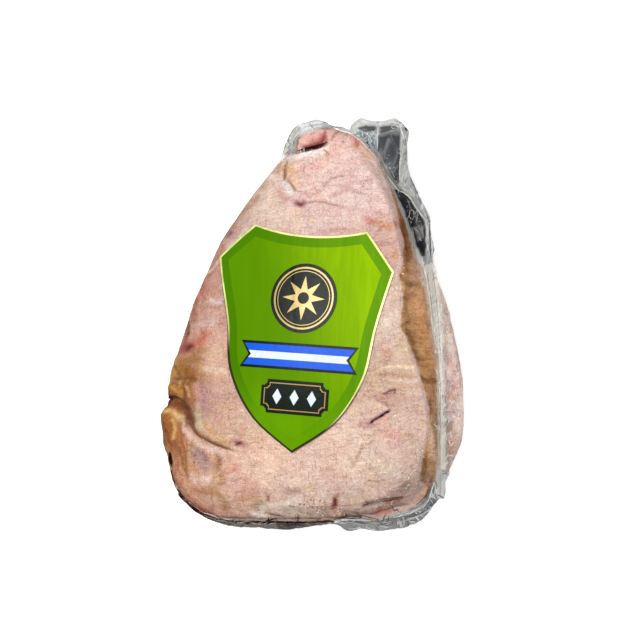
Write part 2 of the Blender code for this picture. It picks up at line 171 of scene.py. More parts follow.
# Folds and creases of the fat, named, in pixels of the photo's 640 x 640 frame: half-width, height or depth
# in millimetres, then the route, with a part of the height where it isn't whole.
RELIEF = {
    "tip_roll": (6.5, 4.0, (300, 142, 0.8), (308, 138), (318, 136), (330, 134, 0.5)),
    "tip_crevice": (1.9, -4.2, (297, 151), (304, 149), (312, 148), (320, 146, 0.8), (326, 142.6, 0.3),
                    (330, 139, 0)),
    "crevice_lip": (3.6, 1.4, (288, 156, 0.6), (300, 155), (315, 153.5), (328, 149, 0.5)),
    "pocket_side": (1.6, -1.2, (288, 163, 0.3), (284.8, 169), (284, 179)),
    "pocket_foot": (1.6, -0.9, (287, 179, 0.6), (291, 184), (295, 190, 0.6)),
    "peach_mound": (8.0, 1.8, (296, 168), (297, 180)),
    "pocket_brow": (5.0, 1.2, (277, 166, 0.7), (274, 176), (280, 190, 0.6)),
    "purple_dimple": (3.0, -1.1, (296, 203), (300, 204)),
    "upper_crease": (1.7, -0.7, (299, 203), (310, 201), (322, 200.5), (338, 205, 0.7), (354, 212, 0)),
    "arc_a": (1.7, 0.55, (319, 178, 0.4), (326, 169), (336, 163, 0.5)),
    "arc_b": (1.7, -0.55, (324, 184, 0.4), (333, 177), (344, 174, 0.4)),
    "arc_c": (1.7, 0.45, (300, 190, 0.3), (318, 184), (330, 190, 0.4)),
    "ear_mass": (8.0, 1.4, (175, 366, 0.7), (177, 380), (180, 390)),
    "ear_loop": (3.0, 0.9, (171, 386), (176, 390), (182, 395), (187, 397, 0.6)),
    "ear_arc": (2.1, 0.5, (181, 383, 0.5), (187, 388), (189.5, 397)),
    "ear_dip": (1.8, -0.7, (182, 385, 0.5), (184, 391), (184.5, 397)),
    "ear_band": (2.6, -0.3, (175, 379), (186, 377), (197, 380, 0.6)),
    "ear_line": (1.5, -0.5, (171, 361, 0.5), (176, 367), (179, 376)),
    "ear_foot": (1.8, -1.2, (166, 398), (172, 397), (178, 397.6, 0.3)),
    "wedge": (4.0, -3.6, (158, 405), (164, 402), (169, 399, 0.5)),
    "valley": (6.5, -2.4, (178, 403, 0.7), (185, 410), (189, 421)),
    "lobe_mass": (7.5, 3.4, (167, 416), (170, 428), (173, 442, 0.7)),
    "lobe_line": (1.8, -0.8, (180, 424, 0.6), (181, 440), (184, 456, 0.5)),
    "lobe_line_low": (1.8, -1.0, (176, 448, 0.5), (180, 462), (183, 478, 0.4)),
    "pale_bump": (5.0, 1.3, (186, 430), (192, 440)),
    "main_crease": (1.6, -1.5, (188, 419, 0.4), (190.5, 425), (194, 431), (198, 435.3), (206, 440),
                    (215, 444.5),
                    (225, 447.7, 0.8), (233, 450.5, 0.5), (240, 454, 0)),
    "crease_lip": (5.0, 1.5, (197, 424), (206, 432), (216, 437), (230, 443, 0.5)),
    "brown_dent": (3.4, -0.7, (217, 455), (217, 466)),
    "low_spot": (3.0, -1.2, (237, 444), (240, 445)),
    "rim": (3.8, 1.2, (398, 240, 0.3), (399, 260), (396, 275), (398, 300), (396, 325), (404, 345),
            (412, 362),
            (417, 380), (424, 400), (426, 420), (424, 440), (421, 455), (416, 475), (410, 495, 0.5)),
    "wall_roll": (4.5, 1.2, (420, 295, 0.6), (425, 320), (430, 345), (433, 362)),
    "slit": (1.3, -1.3, (369, 424, 0.5), (372, 421.5), (377, 418), (382, 415), (386, 412.5), (389, 411)),
    "small_slit": (1.6, -1.0, (384, 393.5, 0.4), (389, 391.5), (394, 390)),
    "spot_dimple": (2.6, -1.1, (334, 501), (334, 506)),
    "corner_fold": (1.5, -2.2, (363, 507, 0.3), (372, 506), (378, 503), (385, 501), (395, 499.6),
                    (402, 498.4, 0.5)),
    "corner_brow": (3.6, 1.3, (374, 498, 0.6), (388, 494), (402, 491, 0.6)),
    "corner_lip": (3.4, 1.5, (428, 484, 0.5), (424, 493), (417, 502), (409, 508, 0.6)),
    "base_fold_a": (1.4, -1.4, (333, 520), (345, 517.5), (358, 516.6), (370, 519, 0.4)),
    "base_fold_b": (1.4, -1.3, (345, 513, 0.6), (356, 514), (366, 516.3), (379, 519.4)),
    "base_fold_left": (1.4, -1.2, (266, 513.4), (276, 515), (285, 516, 0.6)),
    "long_swell": (4.2, 1.0, (340, 478, 0.5), (350, 459), (358, 446), (368, 431, 0.8)),
    "side_swell": (9.0, 0.8, (388, 382, 0.5), (398, 410), (400, 438), (386, 470, 0.6)),
    "streak_ridge": (1.8, 0.6, (378, 367, 0.5), (394, 366.5), (412, 368.5, 0.6)),
    "shoulder_fill": (7.0, 3.0, (338, 130, 0.4), (350, 136), (360, 142), (369, 151), (377, 161, 0.6)),
    "low_left_fill": (5.0, 1.7, (172, 474, 0.5), (176, 486), (184, 498), (194, 507), (205, 513),
                      (216, 515.6)),
    "base_fill": (4.5, 2.3, (222, 516), (240, 516.6), (262, 517.2), (290, 517.6), (320, 517.2),
                  (338, 516, 0.8)),
    "corner_fill": (4.5, 2.6, (352, 516, 0.5), (372, 516.6), (392, 513), (408, 507.6), (419, 500),
                    (426, 490, 0.5)),
}
RELIEF_FADE = (0.003, 0.010)

# Colours as they look in soft daylight, red, green and blue from 0 to 255.
# The broad tone of the fat, part by part: pixel and colour
FAT_TONE = {
    "tip": (322, 165, (240, 203, 193)),
    "shoulder_high": (262, 196, (227, 202, 187)),
    "upper_middle": (320, 205, (229, 203, 193)),
    "upper_right": (366, 190, (240, 213, 207)),
    "shoulder": (228, 240, (200, 164, 150)),
    "shoulder_low": (208, 278, (198, 150, 134)),
    "flank": (208, 318, (208, 164, 148)),
    "flank_low": (212, 356, (220, 178, 156)),
    "left_middle": (216, 398, (212, 173, 156)),
    "left_low": (226, 432, (216, 185, 160)),
    "right_high": (386, 240, (216, 178, 164)),
    "right_middle": (392, 320, (228, 206, 190)),
    "right": (394, 366, (211, 182, 160)),
    "right_low": (392, 430, (220, 190, 174)),
    "under_label": (318, 474, (235, 201, 184)),
    "lower_right": (366, 456, (238, 213, 193)),
    "corner": (408, 480, (204, 176, 161)),
    "bottom": (305, 504, (220, 200, 186)),
    "lower_left": (252, 474, (243, 206, 184)),
    "left_corner": (200, 482, (224, 179, 153)),
    "left_edge": (174, 456, (202, 152, 96)),
    "bottom_left": (240, 508, (198, 164, 144)),
    "bottom_right": (350, 508, (194, 166, 155)),
    "bulge": (452, 372, (246, 220, 208)),
    "ear": (170, 380, (172, 112, 32)),
    "lobe": (166, 420, (150, 84, 16)),
}
TONE_REACH = 30.0
# Stains, pale places, painted highlights and painted shade, named, in pixels of the photo's frame: half-width,
# colour, strength, route
STAINS = {
    # the tip's roll: its pink and red, painted highlights on its top and painted shade in the crevice under it
    "roll_pink": (5.0, (240, 184, 174), 0.9, (304, 140), (314, 137), (324, 135)),
    "roll_gloss": (2.4, (253, 240, 238), 0.95, (304, 137), (310, 133.6), (318, 131.6)),
    "roll_left": (3.4, (206, 150, 120), 0.85, (299, 136), (298, 145)),
    "roll_edge": (2.0, (248, 214, 196), 0.8, (304, 130), (318, 128.5), (332, 130), (346, 133), (358, 139),
                  (368, 148)),
    "roll_deep_red_and_shade": (2.3, (140, 54, 44), 1.0, (303, 147.6), (312, 146), (320, 143.4), (325, 139.4)),
    "roll_fork": (1.4, (158, 96, 74), 0.8, (325, 134), (326.5, 141)),
    "crevice_end": (1.2, (186, 128, 100), 0.8, (331, 140), (335, 135), (338, 133)),
    "roll_red": (3.0, (196, 110, 98), 0.9, (308, 144.6), (317, 142), (325, 137.6)),
    "teeth": (2.4, (247, 242, 239), 0.95, (284, 155), (292, 154), (303, 153), (316, 151.5),
              (328, 148.5, 0.6)),
    "teeth_low": (3.6, (240, 228, 222), 0.7, (286, 159), (300, 158), (320, 157)),
    "tip_orange": (4.0, (236, 170, 140), 0.75, (353, 141), (358, 146)),
    "tip_red": (1.6, (204, 108, 84), 0.9, (355.5, 143.5), (356.5, 146)),
    "tip_peach": (4.0, (236, 188, 156), 0.7, (364, 154), (368, 158)),
    "tip_dot": (1.1, (150, 104, 90), 0.9, (343, 142), (343.5, 143)),
    "tip_mauve": (1.0, (178, 142, 142), 0.7, (324, 150), (327, 152), (329, 154)),
    "tip_tan": (4.0, (226, 186, 162), 0.6, (312, 157), (318, 158)),
    "pink_high": (4.0, (242, 190, 184), 0.8, (304, 168), (318, 165)),
    "arc_pale": (1.5, (248, 224, 214), 0.8, (318, 180), (325, 170), (337, 163.5)),
    "arc_pale_low": (1.4, (246, 218, 210), 0.7, (300, 191), (312, 186), (322, 184)),
    "arc_mauve": (1.3, (198, 148, 146), 0.75, (323, 186), (331, 178), (343, 175)),
    "arc_mauve_low": (1.6, (206, 162, 158), 0.6, (330, 196), (345, 190), (362, 192)),
    "mauve_right": (7.0, (222, 188, 188), 0.55, (346, 178), (362, 184)),
    "grey_right": (4.0, (212, 186, 176), 0.5, (350, 165), (368, 170)),
    "pocket_peach": (5.0, (228, 182, 142), 0.9, (290, 164), (290, 174)),
    "pocket_peach_low": (4.0, (232, 190, 158), 0.8, (296, 172), (298, 184)),
    "pocket_shade": (1.4, (176, 126, 84), 0.8, (288, 162), (284.8, 168), (284.2, 178)),
    "pocket_foot": (1.5, (180, 132, 98), 0.7, (288, 180), (291, 184.5), (295, 189.5)),
    # painted highlights below the pocket and on its raised brow
    "pocket_highlight": (2.4, (242, 232, 230), 0.85, (284, 183), (287, 188), (291, 193)),
    "brow_highlight": (3.0, (246, 238, 232), 0.85, (281, 160), (272, 169), (270, 176)),
    "brow_tan": (2.8, (200, 158, 130), 0.8, (281, 165), (277, 173)),
    "edge_tan": (3.0, (204, 164, 136), 0.85, (263, 180), (261, 189)),
    "brow_pink": (3.4, (204, 152, 138), 0.7, (279, 190), (284, 199)),
    "purple_spot": (2.4, (136, 66, 84), 1.0, (297, 202), (300, 204), (303, 202)),
    "purple_halo": (4.0, (214, 164, 166), 0.7, (292, 200), (304, 206)),
    "upper_line": (0.9, (196, 152, 144), 0.8, (303, 202), (312, 201), (324, 200.5), (338, 205, 0.5)),
    "shoulder_brown": (3.6, (182, 134, 114), 0.75, (256, 198), (244, 210), (235, 221), (229, 232)),
    "shoulder_plum": (2.2, (142, 104, 106), 0.85, (226, 236), (230, 232)),
    "shoulder_pale": (3.0, (226, 208, 198), 0.8, (246, 229), (238, 239), (228, 247)),
    "shoulder_edge": (2.2, (188, 160, 146), 0.7, (252, 188), (236, 208), (224, 230), (212, 250),
                      (202, 272)),
    "shoulder_rust": (2.6, (184, 130, 108), 0.75, (222, 246), (213, 262), (206, 276)),
    "shoulder_streak": (1.2, (232, 200, 178), 0.8, (221, 258), (213, 266), (206, 272)),
    "flank_red": (4.2, (194, 116, 92), 0.85, (201, 279), (200, 294)),
    "flank_brown": (4.4, (172, 114, 80), 0.85, (195, 300), (193, 310), (193, 318)),
    "flank_dark": (1.8, (106, 80, 66), 0.85, (185, 318), (188, 324), (187, 333)),
    "flank_rust": (3.0, (152, 92, 76), 0.85, (186, 333), (184, 343)),
    "flank_gloss": (3.0, (244, 232, 224), 0.75, (210, 300), (220, 302)),
    "flank_grey": (3.0, (202, 184, 182), 0.7, (223, 286), (224, 300)),
    "flank_pale": (5.0, (226, 204, 190), 0.6, (200, 324), (213, 322)),
    "bruise_plum": (5.4, (184, 112, 108), 0.9, (181, 350), (186, 345)),
    "bruise": (5.2, (158, 68, 60), 0.95, (186, 349), (193, 345)),
    "bruise_core": (2.8, (112, 30, 44), 0.95, (187, 349), (190, 346)),
    "bruise_red": (5.0, (196, 108, 88), 0.9, (198, 343), (205, 335)),
    "flank_olive": (4.6, (178, 134, 90), 0.85, (192, 354), (202, 350)),
    "flank_ochre": (4.6, (160, 112, 60), 0.9, (184, 362), (199, 359)),
    "flank_edge": (2.6, (212, 170, 140), 0.85, (175, 354), (173, 362)),
    "flank_cream": (5.0, (230, 196, 168), 0.7, (212, 356), (218, 352)),
    "cream_band": (3.6, (238, 212, 188), 0.75, (206, 369), (224, 371)),
    "ear_tan": (4.5, (192, 142, 70), 0.95, (174, 364), (173, 376)),
    "ear_tan_light": (1.4, (222, 186, 128), 0.9, (171, 366), (170.5, 384)),
    "ear_ochre": (7.0, (162, 108, 32), 0.97, (181, 369), (192, 376), (188, 384)),
    "ear_olive_edge": (4.4, (190, 146, 84), 0.85, (201, 366), (202, 376)),
    "ear_band": (2.1, (128, 80, 28), 0.85, (177, 379), (187, 376.5), (196, 380)),
    "ear_line": (1.2, (140, 94, 44), 0.9, (171, 361), (176, 367), (179, 376)),
    "ear_loop": (2.6, (204, 150, 58), 0.95, (170, 386), (175, 390), (182, 395)),
    "ear_gold": (2.6, (176, 120, 34), 0.95, (181, 386), (183, 394)),
    "ear_dip": (1.3, (130, 82, 30), 0.85, (183, 384), (185, 390), (184.5, 397)),
    "ear_arc": (1.5, (208, 166, 112), 0.9, (181, 382.5), (187, 387), (189.5, 396)),
    "ear_root": (5.0, (144, 92, 40), 0.95, (186, 385), (190, 396)),
    "edge_rust": (2.0, (126, 50, 26), 0.95, (168.5, 374), (166.5, 386), (165, 395)),
    "wedge_dark": (2.6, (48, 12, 8), 1.0, (168, 398), (165, 401), (162, 407)),
    "wedge_rust": (1.8, (120, 44, 24), 0.9, (164, 392), (160, 408)),
    "ear_foot": (1.2, (90, 44, 18), 0.9, (169, 397), (174, 396.5), (180, 399)),
    "valley": (7.5, (130, 68, 8), 0.98, (175, 404), (184, 406), (187, 418)),
    "valley_deep": (3.2, (106, 58, 24), 0.9, (182, 400), (186, 414), (190, 423)),
    "valley_red": (2.0, (124, 62, 44), 0.9, (186, 410), (186.5, 414)),
    "valley_side": (2.4, (166, 112, 58), 0.8, (191, 396), (192, 410)),
    "lobe": (7.0, (166, 98, 24), 0.97, (168, 414), (171, 428), (174, 444)),
    # painted light on the lobe's top
    "lobe_lit_top": (2.6, (236, 194, 122), 0.92, (166, 411), (172, 411), (177, 417)),
    "lobe_pale": (2.4, (222, 190, 150), 0.8, (179, 417), (182, 425)),
    "lobe_shade": (2.2, (142, 96, 40), 0.85, (170, 430), (173, 441)),
    "lobe_vein": (1.1, (128, 76, 34), 0.8, (164, 418), (168, 424), (169, 434), (174, 446)),
    "lobe_speck": (1.3, (226, 182, 112), 0.8, (174, 420), (176, 430), (175, 438)),
    "lobe_root": (2.6, (150, 98, 46), 0.85, (177, 440), (180, 452), (181, 464)),
    "lobe_rust": (2.4, (164, 92, 62), 0.9, (161, 416), (162, 430), (167, 444)),
    "lobe_line": (1.5, (176, 108, 62), 0.9, (179, 428), (181, 441), (184, 456)),
    "pale_bump": (4.0, (234, 204, 190), 0.9, (185, 430), (190, 438)),
    # a painted highlight below the main crease
    "crease_highlight": (3.4, (238, 214, 200), 0.8, (196, 442), (206, 449), (222, 453)),
    "main_crease": (1.0, (136, 90, 58), 0.8, (189, 421), (191, 426), (194, 431), (198, 435.3), (206, 440),
                    (215, 444.5), (225, 447.7, 0.7), (234, 451, 0.3)),
    "crease_side": (2.6, (186, 136, 96), 0.75, (192, 424), (198, 432), (208, 438), (220, 444)),
    "lip_gold": (2.2, (212, 168, 116), 0.85, (203, 424), (211, 431), (221, 439), (230, 444)),
    "lip_grey": (4.0, (206, 192, 164), 0.85, (193, 408), (197, 420), (202, 427)),
    "plum": (5.4, (184, 138, 142), 0.75, (203, 384), (205, 408)),
    "plum_side": (6.0, (202, 164, 158), 0.6, (214, 388), (221, 396)),
    "pink_side": (4.6, (216, 166, 152), 0.6, (196, 388), (196, 404)),
    "rose": (3.4, (206, 152, 144), 0.6, (216, 416), (222, 428)),
    "purple_low": (2.2, (92, 20, 38), 1.0, (237, 444.5), (240, 443.5)),
    "purple_low_halo": (4.0, (186, 120, 118), 0.8, (233, 441), (243, 444)),
    "purple_tail": (3.0, (212, 158, 138), 0.8, (242, 426), (242, 436)),
    "left_mauve": (6.5, (180, 152, 152), 0.75, (196, 456), (206, 468)),
    "left_mauve_dark": (2.6, (150, 122, 124), 0.7, (196, 450), (204, 456), (206, 462)),
    "left_brown": (4.0, (164, 122, 74), 0.75, (215, 453), (218, 461), (216, 469)),
    "left_tan": (3.4, (186, 140, 98), 0.7, (222, 474), (220, 484)),
    "left_tan_side": (3.0, (204, 164, 130), 0.7, (214, 470), (212, 482)),
    "edge_ochre": (3.2, (198, 146, 92), 0.85, (184, 456), (185, 470)),
    "edge_brown": (2.4, (170, 112, 72), 0.8, (180, 444), (184, 462), (186, 476)),
    "edge_red": (2.2, (186, 114, 84), 0.75, (174, 446), (176, 462), (175, 478), (182, 490), (195, 503),
                 (206, 511)),
    "blob_a": (3.0, (244, 220, 210), 0.85, (192, 477), (194, 481)),
    "blob_b": (3.2, (246, 224, 214), 0.85, (202, 480), (210, 479)),
    "mottle_brown": (4.0, (180, 126, 94), 0.8, (194, 492), (214, 494)),
    "mottle_olive": (3.0, (176, 134, 88), 0.75, (208, 488), (222, 498), (226, 508)),
    "mottle_rust": (3.4, (180, 116, 92), 0.75, (200, 508), (212, 510)),
    "pink_low": (4.0, (220, 156, 138), 0.8, (233, 469), (238, 470)),
    "mauve_low": (3.4, (206, 168, 168), 0.7, (233, 481), (236, 484)),
    "cream_low": (6.0, (238, 208, 178), 0.6, (252, 468), (268, 474)),
    "tan_low": (4.0, (204, 150, 118), 0.75, (240, 500), (256, 498)),
    "dot_low": (2.0, (140, 76, 56), 0.9, (268, 497), (268, 501)),
    "olive_low": (3.4, (176, 150, 112), 0.8, (252, 506), (260, 503)),
    "white_low": (3.0, (232, 220, 204), 0.85, (262, 508), (284, 504), (300, 502)),
    "gleam_low": (2.4, (248, 238, 228), 0.85, (253, 513), (264, 516)),
    "grey_low": (3.4, (186, 168, 150), 0.75, (284, 511), (310, 511), (330, 513)),
    "smudge": (3.8, (178, 146, 130), 0.85, (289, 491), (298, 491)),
    "yellow_low": (3.4, (216, 188, 142), 0.8, (307, 488), (312, 486)),
    "brown_spot": (2.6, (104, 32, 14), 1.0, (334, 500), (333.5, 507)),
    "spot_halo": (4.0, (196, 146, 116), 0.8, (335, 498), (334, 512)),
    "corner_olive": (4.6, (214, 192, 148), 0.5, (354, 502), (362, 499)),
    "corner_plum": (2.6, (150, 108, 96), 0.8, (366, 504), (374, 502)),
    "corner_line": (1.1, (100, 66, 58), 0.9, (363, 507), (372, 506), (378, 503), (385, 501), (395, 499.6),
                    (402, 498.4)),
    "corner_rust": (2.2, (188, 122, 100), 0.85, (386, 503.5), (400, 501)),
    "corner_red": (1.7, (188, 96, 82), 0.75, (374, 511.6), (380, 510.2), (385, 511), (391, 509)),
    "corner_pink": (2.6, (228, 160, 142), 0.85, (380, 514.5), (390, 515)),
    "corner_mauve": (2.6, (196, 156, 160), 0.8, (398, 507), (408, 505)),
    "corner_grey": (4.0, (192, 168, 162), 0.75, (386, 493), (400, 490)),
    "corner_shade": (3.2, (156, 132, 108), 0.65, (403, 487), (409, 484)),
    "grey_line": (0.9, (160, 138, 130), 0.85, (367, 481), (378, 481.3), (384, 479.4)),
    "right_grey": (5.0, (202, 172, 162), 0.65, (376, 450), (384, 460)),
    "right_sheen": (5.0, (216, 202, 190), 0.6, (386, 470), (400, 476)),
    "right_pink": (6.0, (230, 176, 164), 0.7, (384, 432), (398, 436)),
    "right_mauve": (4.0, (208, 168, 166), 0.5, (392, 448), (402, 444)),
    "slit": (0.9, (70, 22, 38), 0.9, (370, 423, 0.8), (372, 421.5), (377, 418, 0.8), (382, 415),
             (386, 412.5)),
    "slit_halo": (3.4, (190, 146, 152), 0.7, (367, 426), (378, 419), (390, 410)),
    "slit_rose": (3.0, (222, 168, 160), 0.6, (374, 424), (386, 418)),
    "swell_pale": (2.6, (240, 210, 184), 0.6, (342, 474), (350, 460), (358, 447), (367, 432)),
    "swell_shade": (1.8, (208, 166, 140), 0.65, (352, 466), (358, 455), (364, 444)),
    "small_mark": (1.2, (124, 74, 60), 0.9, (384, 393.4), (389, 391.6), (394, 390), (394, 393)),
    "small_mark_halo": (3.4, (204, 158, 146), 0.6, (384, 396), (396, 390)),
    "orange_high": (3.0, (206, 148, 110), 0.85, (375, 222), (386, 226), (398, 223)),
    "red_high": (3.8, (208, 132, 122), 0.85, (366, 219), (372, 223)),
    "pink_band": (3.0, (220, 172, 166), 0.65, (318, 231), (345, 228)),
    "orange_side": (3.4, (214, 164, 124), 0.85, (393, 256), (396, 256)),
    "mauve_side": (2.0, (204, 182, 190), 0.8, (398, 268), (397, 274)),
    "cream_side": (5.0, (234, 210, 178), 0.6, (390, 288), (394, 296)),
    "rust_side": (3.0, (216, 160, 140), 0.65, (383, 351), (387, 352)),
    "tan_side": (5.0, (214, 186, 156), 0.6, (400, 338), (406, 348)),
    "streak_pale": (1.7, (248, 220, 190), 0.9, (378, 368), (392, 366.5), (404, 366.5), (414, 368.5)),
    "streak_shade": (2.4, (196, 152, 122), 0.75, (376, 374), (394, 374), (414, 377)),
    "streak_low": (1.4, (238, 212, 188), 0.75, (398, 380.5), (416, 381)),
    "streak_tan": (2.6, (206, 166, 136), 0.65, (392, 387), (420, 387)),
    "bulge_edge": (2.0, (204, 176, 166), 0.6, (446, 304), (455, 335), (459, 365)),
    "bulge_tan": (3.0, (206, 170, 140), 0.7, (451, 320), (452, 332)),
    "bulge_rose": (4.2, (218, 164, 154), 0.75, (450, 358), (453, 374)),
    "bulge_red": (3.4, (206, 134, 122), 0.8, (452, 382), (454, 388)),
    "bulge_rust": (4.2, (198, 146, 112), 0.85, (449, 394), (455, 400)),
    "bulge_mauve": (3.4, (204, 178, 172), 0.7, (448, 406), (457, 412)),
    "bulge_brown": (4.4, (160, 128, 108), 0.9, (450, 423), (451, 430)),
    "bulge_orange": (3.2, (198, 138, 108), 0.9, (452, 441), (451, 454)),
    "wall_ridge": (1.6, (240, 208, 176), 0.85, (404, 222), (411, 240), (417.5, 258), (423, 275),
                   (427, 295), (430, 315),
                   (432, 335), (435.5, 352), (437.5, 370), (438, 400), (438.5, 440), (438.5, 468)),
    # more of the roll: painted highlights and its red
    "roll_highlight": (2.4, (252, 224, 216), 0.85, (301, 141), (303, 135.6), (309, 132.6)),
    "roll_red": (2.4, (204, 124, 110), 0.75, (311, 143.6), (319, 141), (326, 138)),
    "roll_gleam": (1.6, (253, 230, 224), 0.80, (318, 131), (323, 133)),
}
# Painted shadow: the rim's shadow lies painted on the wall's tan, darkest along the rim
# The brown wall under the right rim, down its rim edge and back up its outer edge, in pixels of the frame
SHADED_WALL_AREA = (
    (391, 186), (396, 203), (401, 225), (403.5, 240), (404, 260), (402.5, 266), (399, 275), (401.5, 283),
    (402, 312),
    (400.5, 326), (402, 331), (406, 336), (412, 350), (417, 360), (420.5, 370), (421, 381), (424, 384),
    (428, 400),
    (430, 408), (430.5, 418), (428, 438), (426, 452), (422, 461), (419.5, 480), (420, 483), (425, 484),
    (418, 498),
    (406, 511), (414, 508), (428, 494), (433, 485), (437, 477), (437, 400), (436, 360), (431, 340),
    (427, 310),
    (424, 290), (418, 270), (412, 250), (409, 231), (401, 210), (394, 190),
)
WALL_TAN_AND_SHADOW = (212, 162, 108)
# Shades on the wall, painted shadow and stains, laid out as the stains are
WALL_STAINS_AND_SHADOW = {
    "high": (5.0, (136, 74, 20), 0.95, (402, 222), (406, 240), (408, 256)),
    "high_low": (4.0, (168, 106, 54), 0.9, (408, 260), (407, 270)),
    "bite_pink": (3.6, (214, 164, 132), 0.9, (414, 266), (416, 278)),
    "bite": (3.0, (132, 84, 48), 0.85, (401, 277), (406, 281), (412, 286)),
    "olive": (4.4, (160, 116, 70), 0.95, (405, 292), (405, 314)),
    "gold_high": (4.4, (222, 172, 124), 0.9, (417, 290), (420, 314)),
    "fold": (2.6, (136, 94, 54), 0.85, (402, 325), (409, 321)),
    "brown": (5.0, (142, 98, 54), 0.95, (406, 330), (413, 342)),
    "gold": (3.6, (206, 150, 88), 0.9, (421, 326), (427, 345)),
    "brown_low": (4.0, (132, 88, 48), 0.95, (413, 350), (420, 359)),
    "gold_low": (3.6, (194, 136, 76), 0.9, (428, 352), (432, 366)),
    "step": (3.2, (156, 96, 42), 0.95, (423, 379), (435, 380)),
    "step_high": (3.4, (178, 124, 74), 0.9, (424, 366), (432, 372)),
    "below": (4.0, (200, 150, 100), 0.9, (429, 388), (434, 398)),
    "notch": (2.6, (156, 108, 70), 0.9, (430, 402), (432, 412)),
    "low": (3.4, (232, 190, 148), 0.9, (431, 420), (430, 438)),
    "low_light": (3.6, (252, 220, 184), 0.9, (433, 430), (434, 458)),
    "low_dark": (4.2, (140, 94, 54), 0.9, (425, 460), (424, 482)),
    "low_tan": (3.0, (190, 136, 90), 0.85, (433, 462), (434, 472)),
    "end_rust": (2.4, (150, 88, 58), 0.95, (433, 478), (428, 490)),
    "end_pink": (2.4, (214, 158, 124), 0.9, (424, 488), (418, 495)),
    "end_dark": (1.8, (116, 70, 40), 0.95, (429, 492), (421, 500), (414, 506)),
}
# Fine dark red dots under the surface: x, y, half-length, half-width, turn, strength
SPECKLED = (
    (-0.075, -0.046, 0.014, 0.009, 80, 1.0),
    (-0.076, -0.090, 0.011, 0.009, 60, 1.0),
    (-0.079, -0.006, 0.013, 0.010, 60, 1.0),
    (-0.082, 0.020, 0.016, 0.008, 66, 0.8),
    (-0.052, -0.083, 0.010, 0.006, 30, 0.6),
    (0.004, -0.124, 0.030, 0.005, 0, 0.8),
    (0.060, -0.112, 0.012, 0.007, 20, 0.7),
    (0.100, -0.020, 0.040, 0.006, 85, 1.0),
)
# Zones where the fat is drawn into fine folds: x, y, half-length, half-width, turn, strength
FOLDED = (
    (-0.092, -0.092, 0.026, 0.013, 75, 1.0),
    (-0.060, -0.118, 0.030, 0.009, -12, 0.8),
    (-0.093, -0.036, 0.015, 0.011, 75, 1.0),
    (0.030, -0.120, 0.040, 0.008, 0, 0.7),
    (0.005, 0.108, 0.030, 0.020, 20, 0.35),
    (-0.080, 0.020, 0.030, 0.012, 66, 0.5),
    (0.060, -0.040, 0.012, 0.050, 0, 0.35),
)

# The photo's view: leaning to the right and a little down the picture, with +Y up the picture
LEAN_RIGHT, LEAN_DOWN = math.radians(18.0), math.radians(5.0)
LENS, SENSOR, PHOTO_SIDE = 85.0, 36.0, 640
METRES_PER_PIXEL = 0.00068
AIM_PLACE, AIM_PIXEL = np.array([0.0, 0.0, 0.025]), np.array([312.0, 325.0])

# The light: what a matt white level surface sends back, so that colours above can be turned into paint
LIGHT_GAIN = 1.45
WORLD_STRENGTH = 0.70
LIGHT_TARGET = np.array([0.0, 0.0, 0.02])
# Place, size and power
KEY_LIGHT = ((-0.20, 0.26, 1.10), 0.40, 11.0)
FILL_LIGHT = ((0.50, -0.40, 0.95), 0.80, 3.0)
FLOOR_HALF = 3.0
FLOOR_DROP = 0.0004


def between(a, b, c, d, s):
    """A smooth curve's value at a part of the way from b to c."""
    return b + 0.5 * s * (c - a + s * (2 * a - 5 * b + 4 * c - d + s * (3 * (b - c) + d - a)))


def spline(points, closed):
    """Points of a smooth curve through the given rows, CURVE_STEPS to each span."""
    rows = np.array(points, float)
    count = len(rows)
    spans = count if closed else count - 1
    out = []
    for i in range(spans):
        if closed:
            a, b, c, d = (rows[(i + k) % count] for k in (-1, 0, 1, 2))
        else:
            a, b, c, d = (rows[min(max(i + k, 0), count - 1)] for k in (-1, 0, 1, 2))
        out += [between(a, b, c, d, step / CURVE_STEPS) for step in range(CURVE_STEPS)]
    if not closed:
        out.append(rows[-1])
    return np.array(out)


def even(rows, count, closed):
    """The curve through the rows, read at even steps of its length in plan."""
    if closed:
        rows = np.vstack([rows, rows[:1]])
    length = np.concatenate([[0.0], np.cumsum(np.linalg.norm(np.diff(rows[:, :2], axis=0), axis=1))])
    where = np.linspace(0.0, length[-1], count, endpoint=not closed)
    return np.stack([np.interp(where, length, rows[:, k]) for k in range(rows.shape[1])], axis=1)


def section_rows(count):
    """The section at each column round the cut: outline, parts of the way out, heights and the fat's hem."""
    rows = even(spline([(*row, hem) for row, hem in zip(STATIONS, FAT_HEM)], True), count, True)
    outline = rows[:, :2]
    along = np.roll(outline, -1, axis=0) - np.roll(outline, 1, axis=0)
    along /= np.linalg.norm(along, axis=1, keepdims=True)
    outward = np.stack([along[:, 1], -along[:, 0]], axis=1)
    reach = ((outline - CENTRE) * outward).sum(axis=1)
    rim, rim_z, ledge, ledge_z, belly_z, hem = rows[:, 2:].T
    return {"outline": outline, "rim": 1 - rim / reach, "rim_z": rim_z, "ledge": 1 - ledge / reach,
            "ledge_z": ledge_z, "belly_z": belly_z, "foot": 1 - FOOT_INSET / reach, "hem": hem}


def smooth_step(low, high, value):
    t = np.clip((value - low) / (high - low), 0.0, 1.0)
    return t * t * (3 - 2 * t)


def dome(part, rim_z):
    """Height of the top face at a part of the way from the centre out to the rim."""
    return rim_z + (CROWN_HEIGHT - rim_z) * (1 - part ** 2)


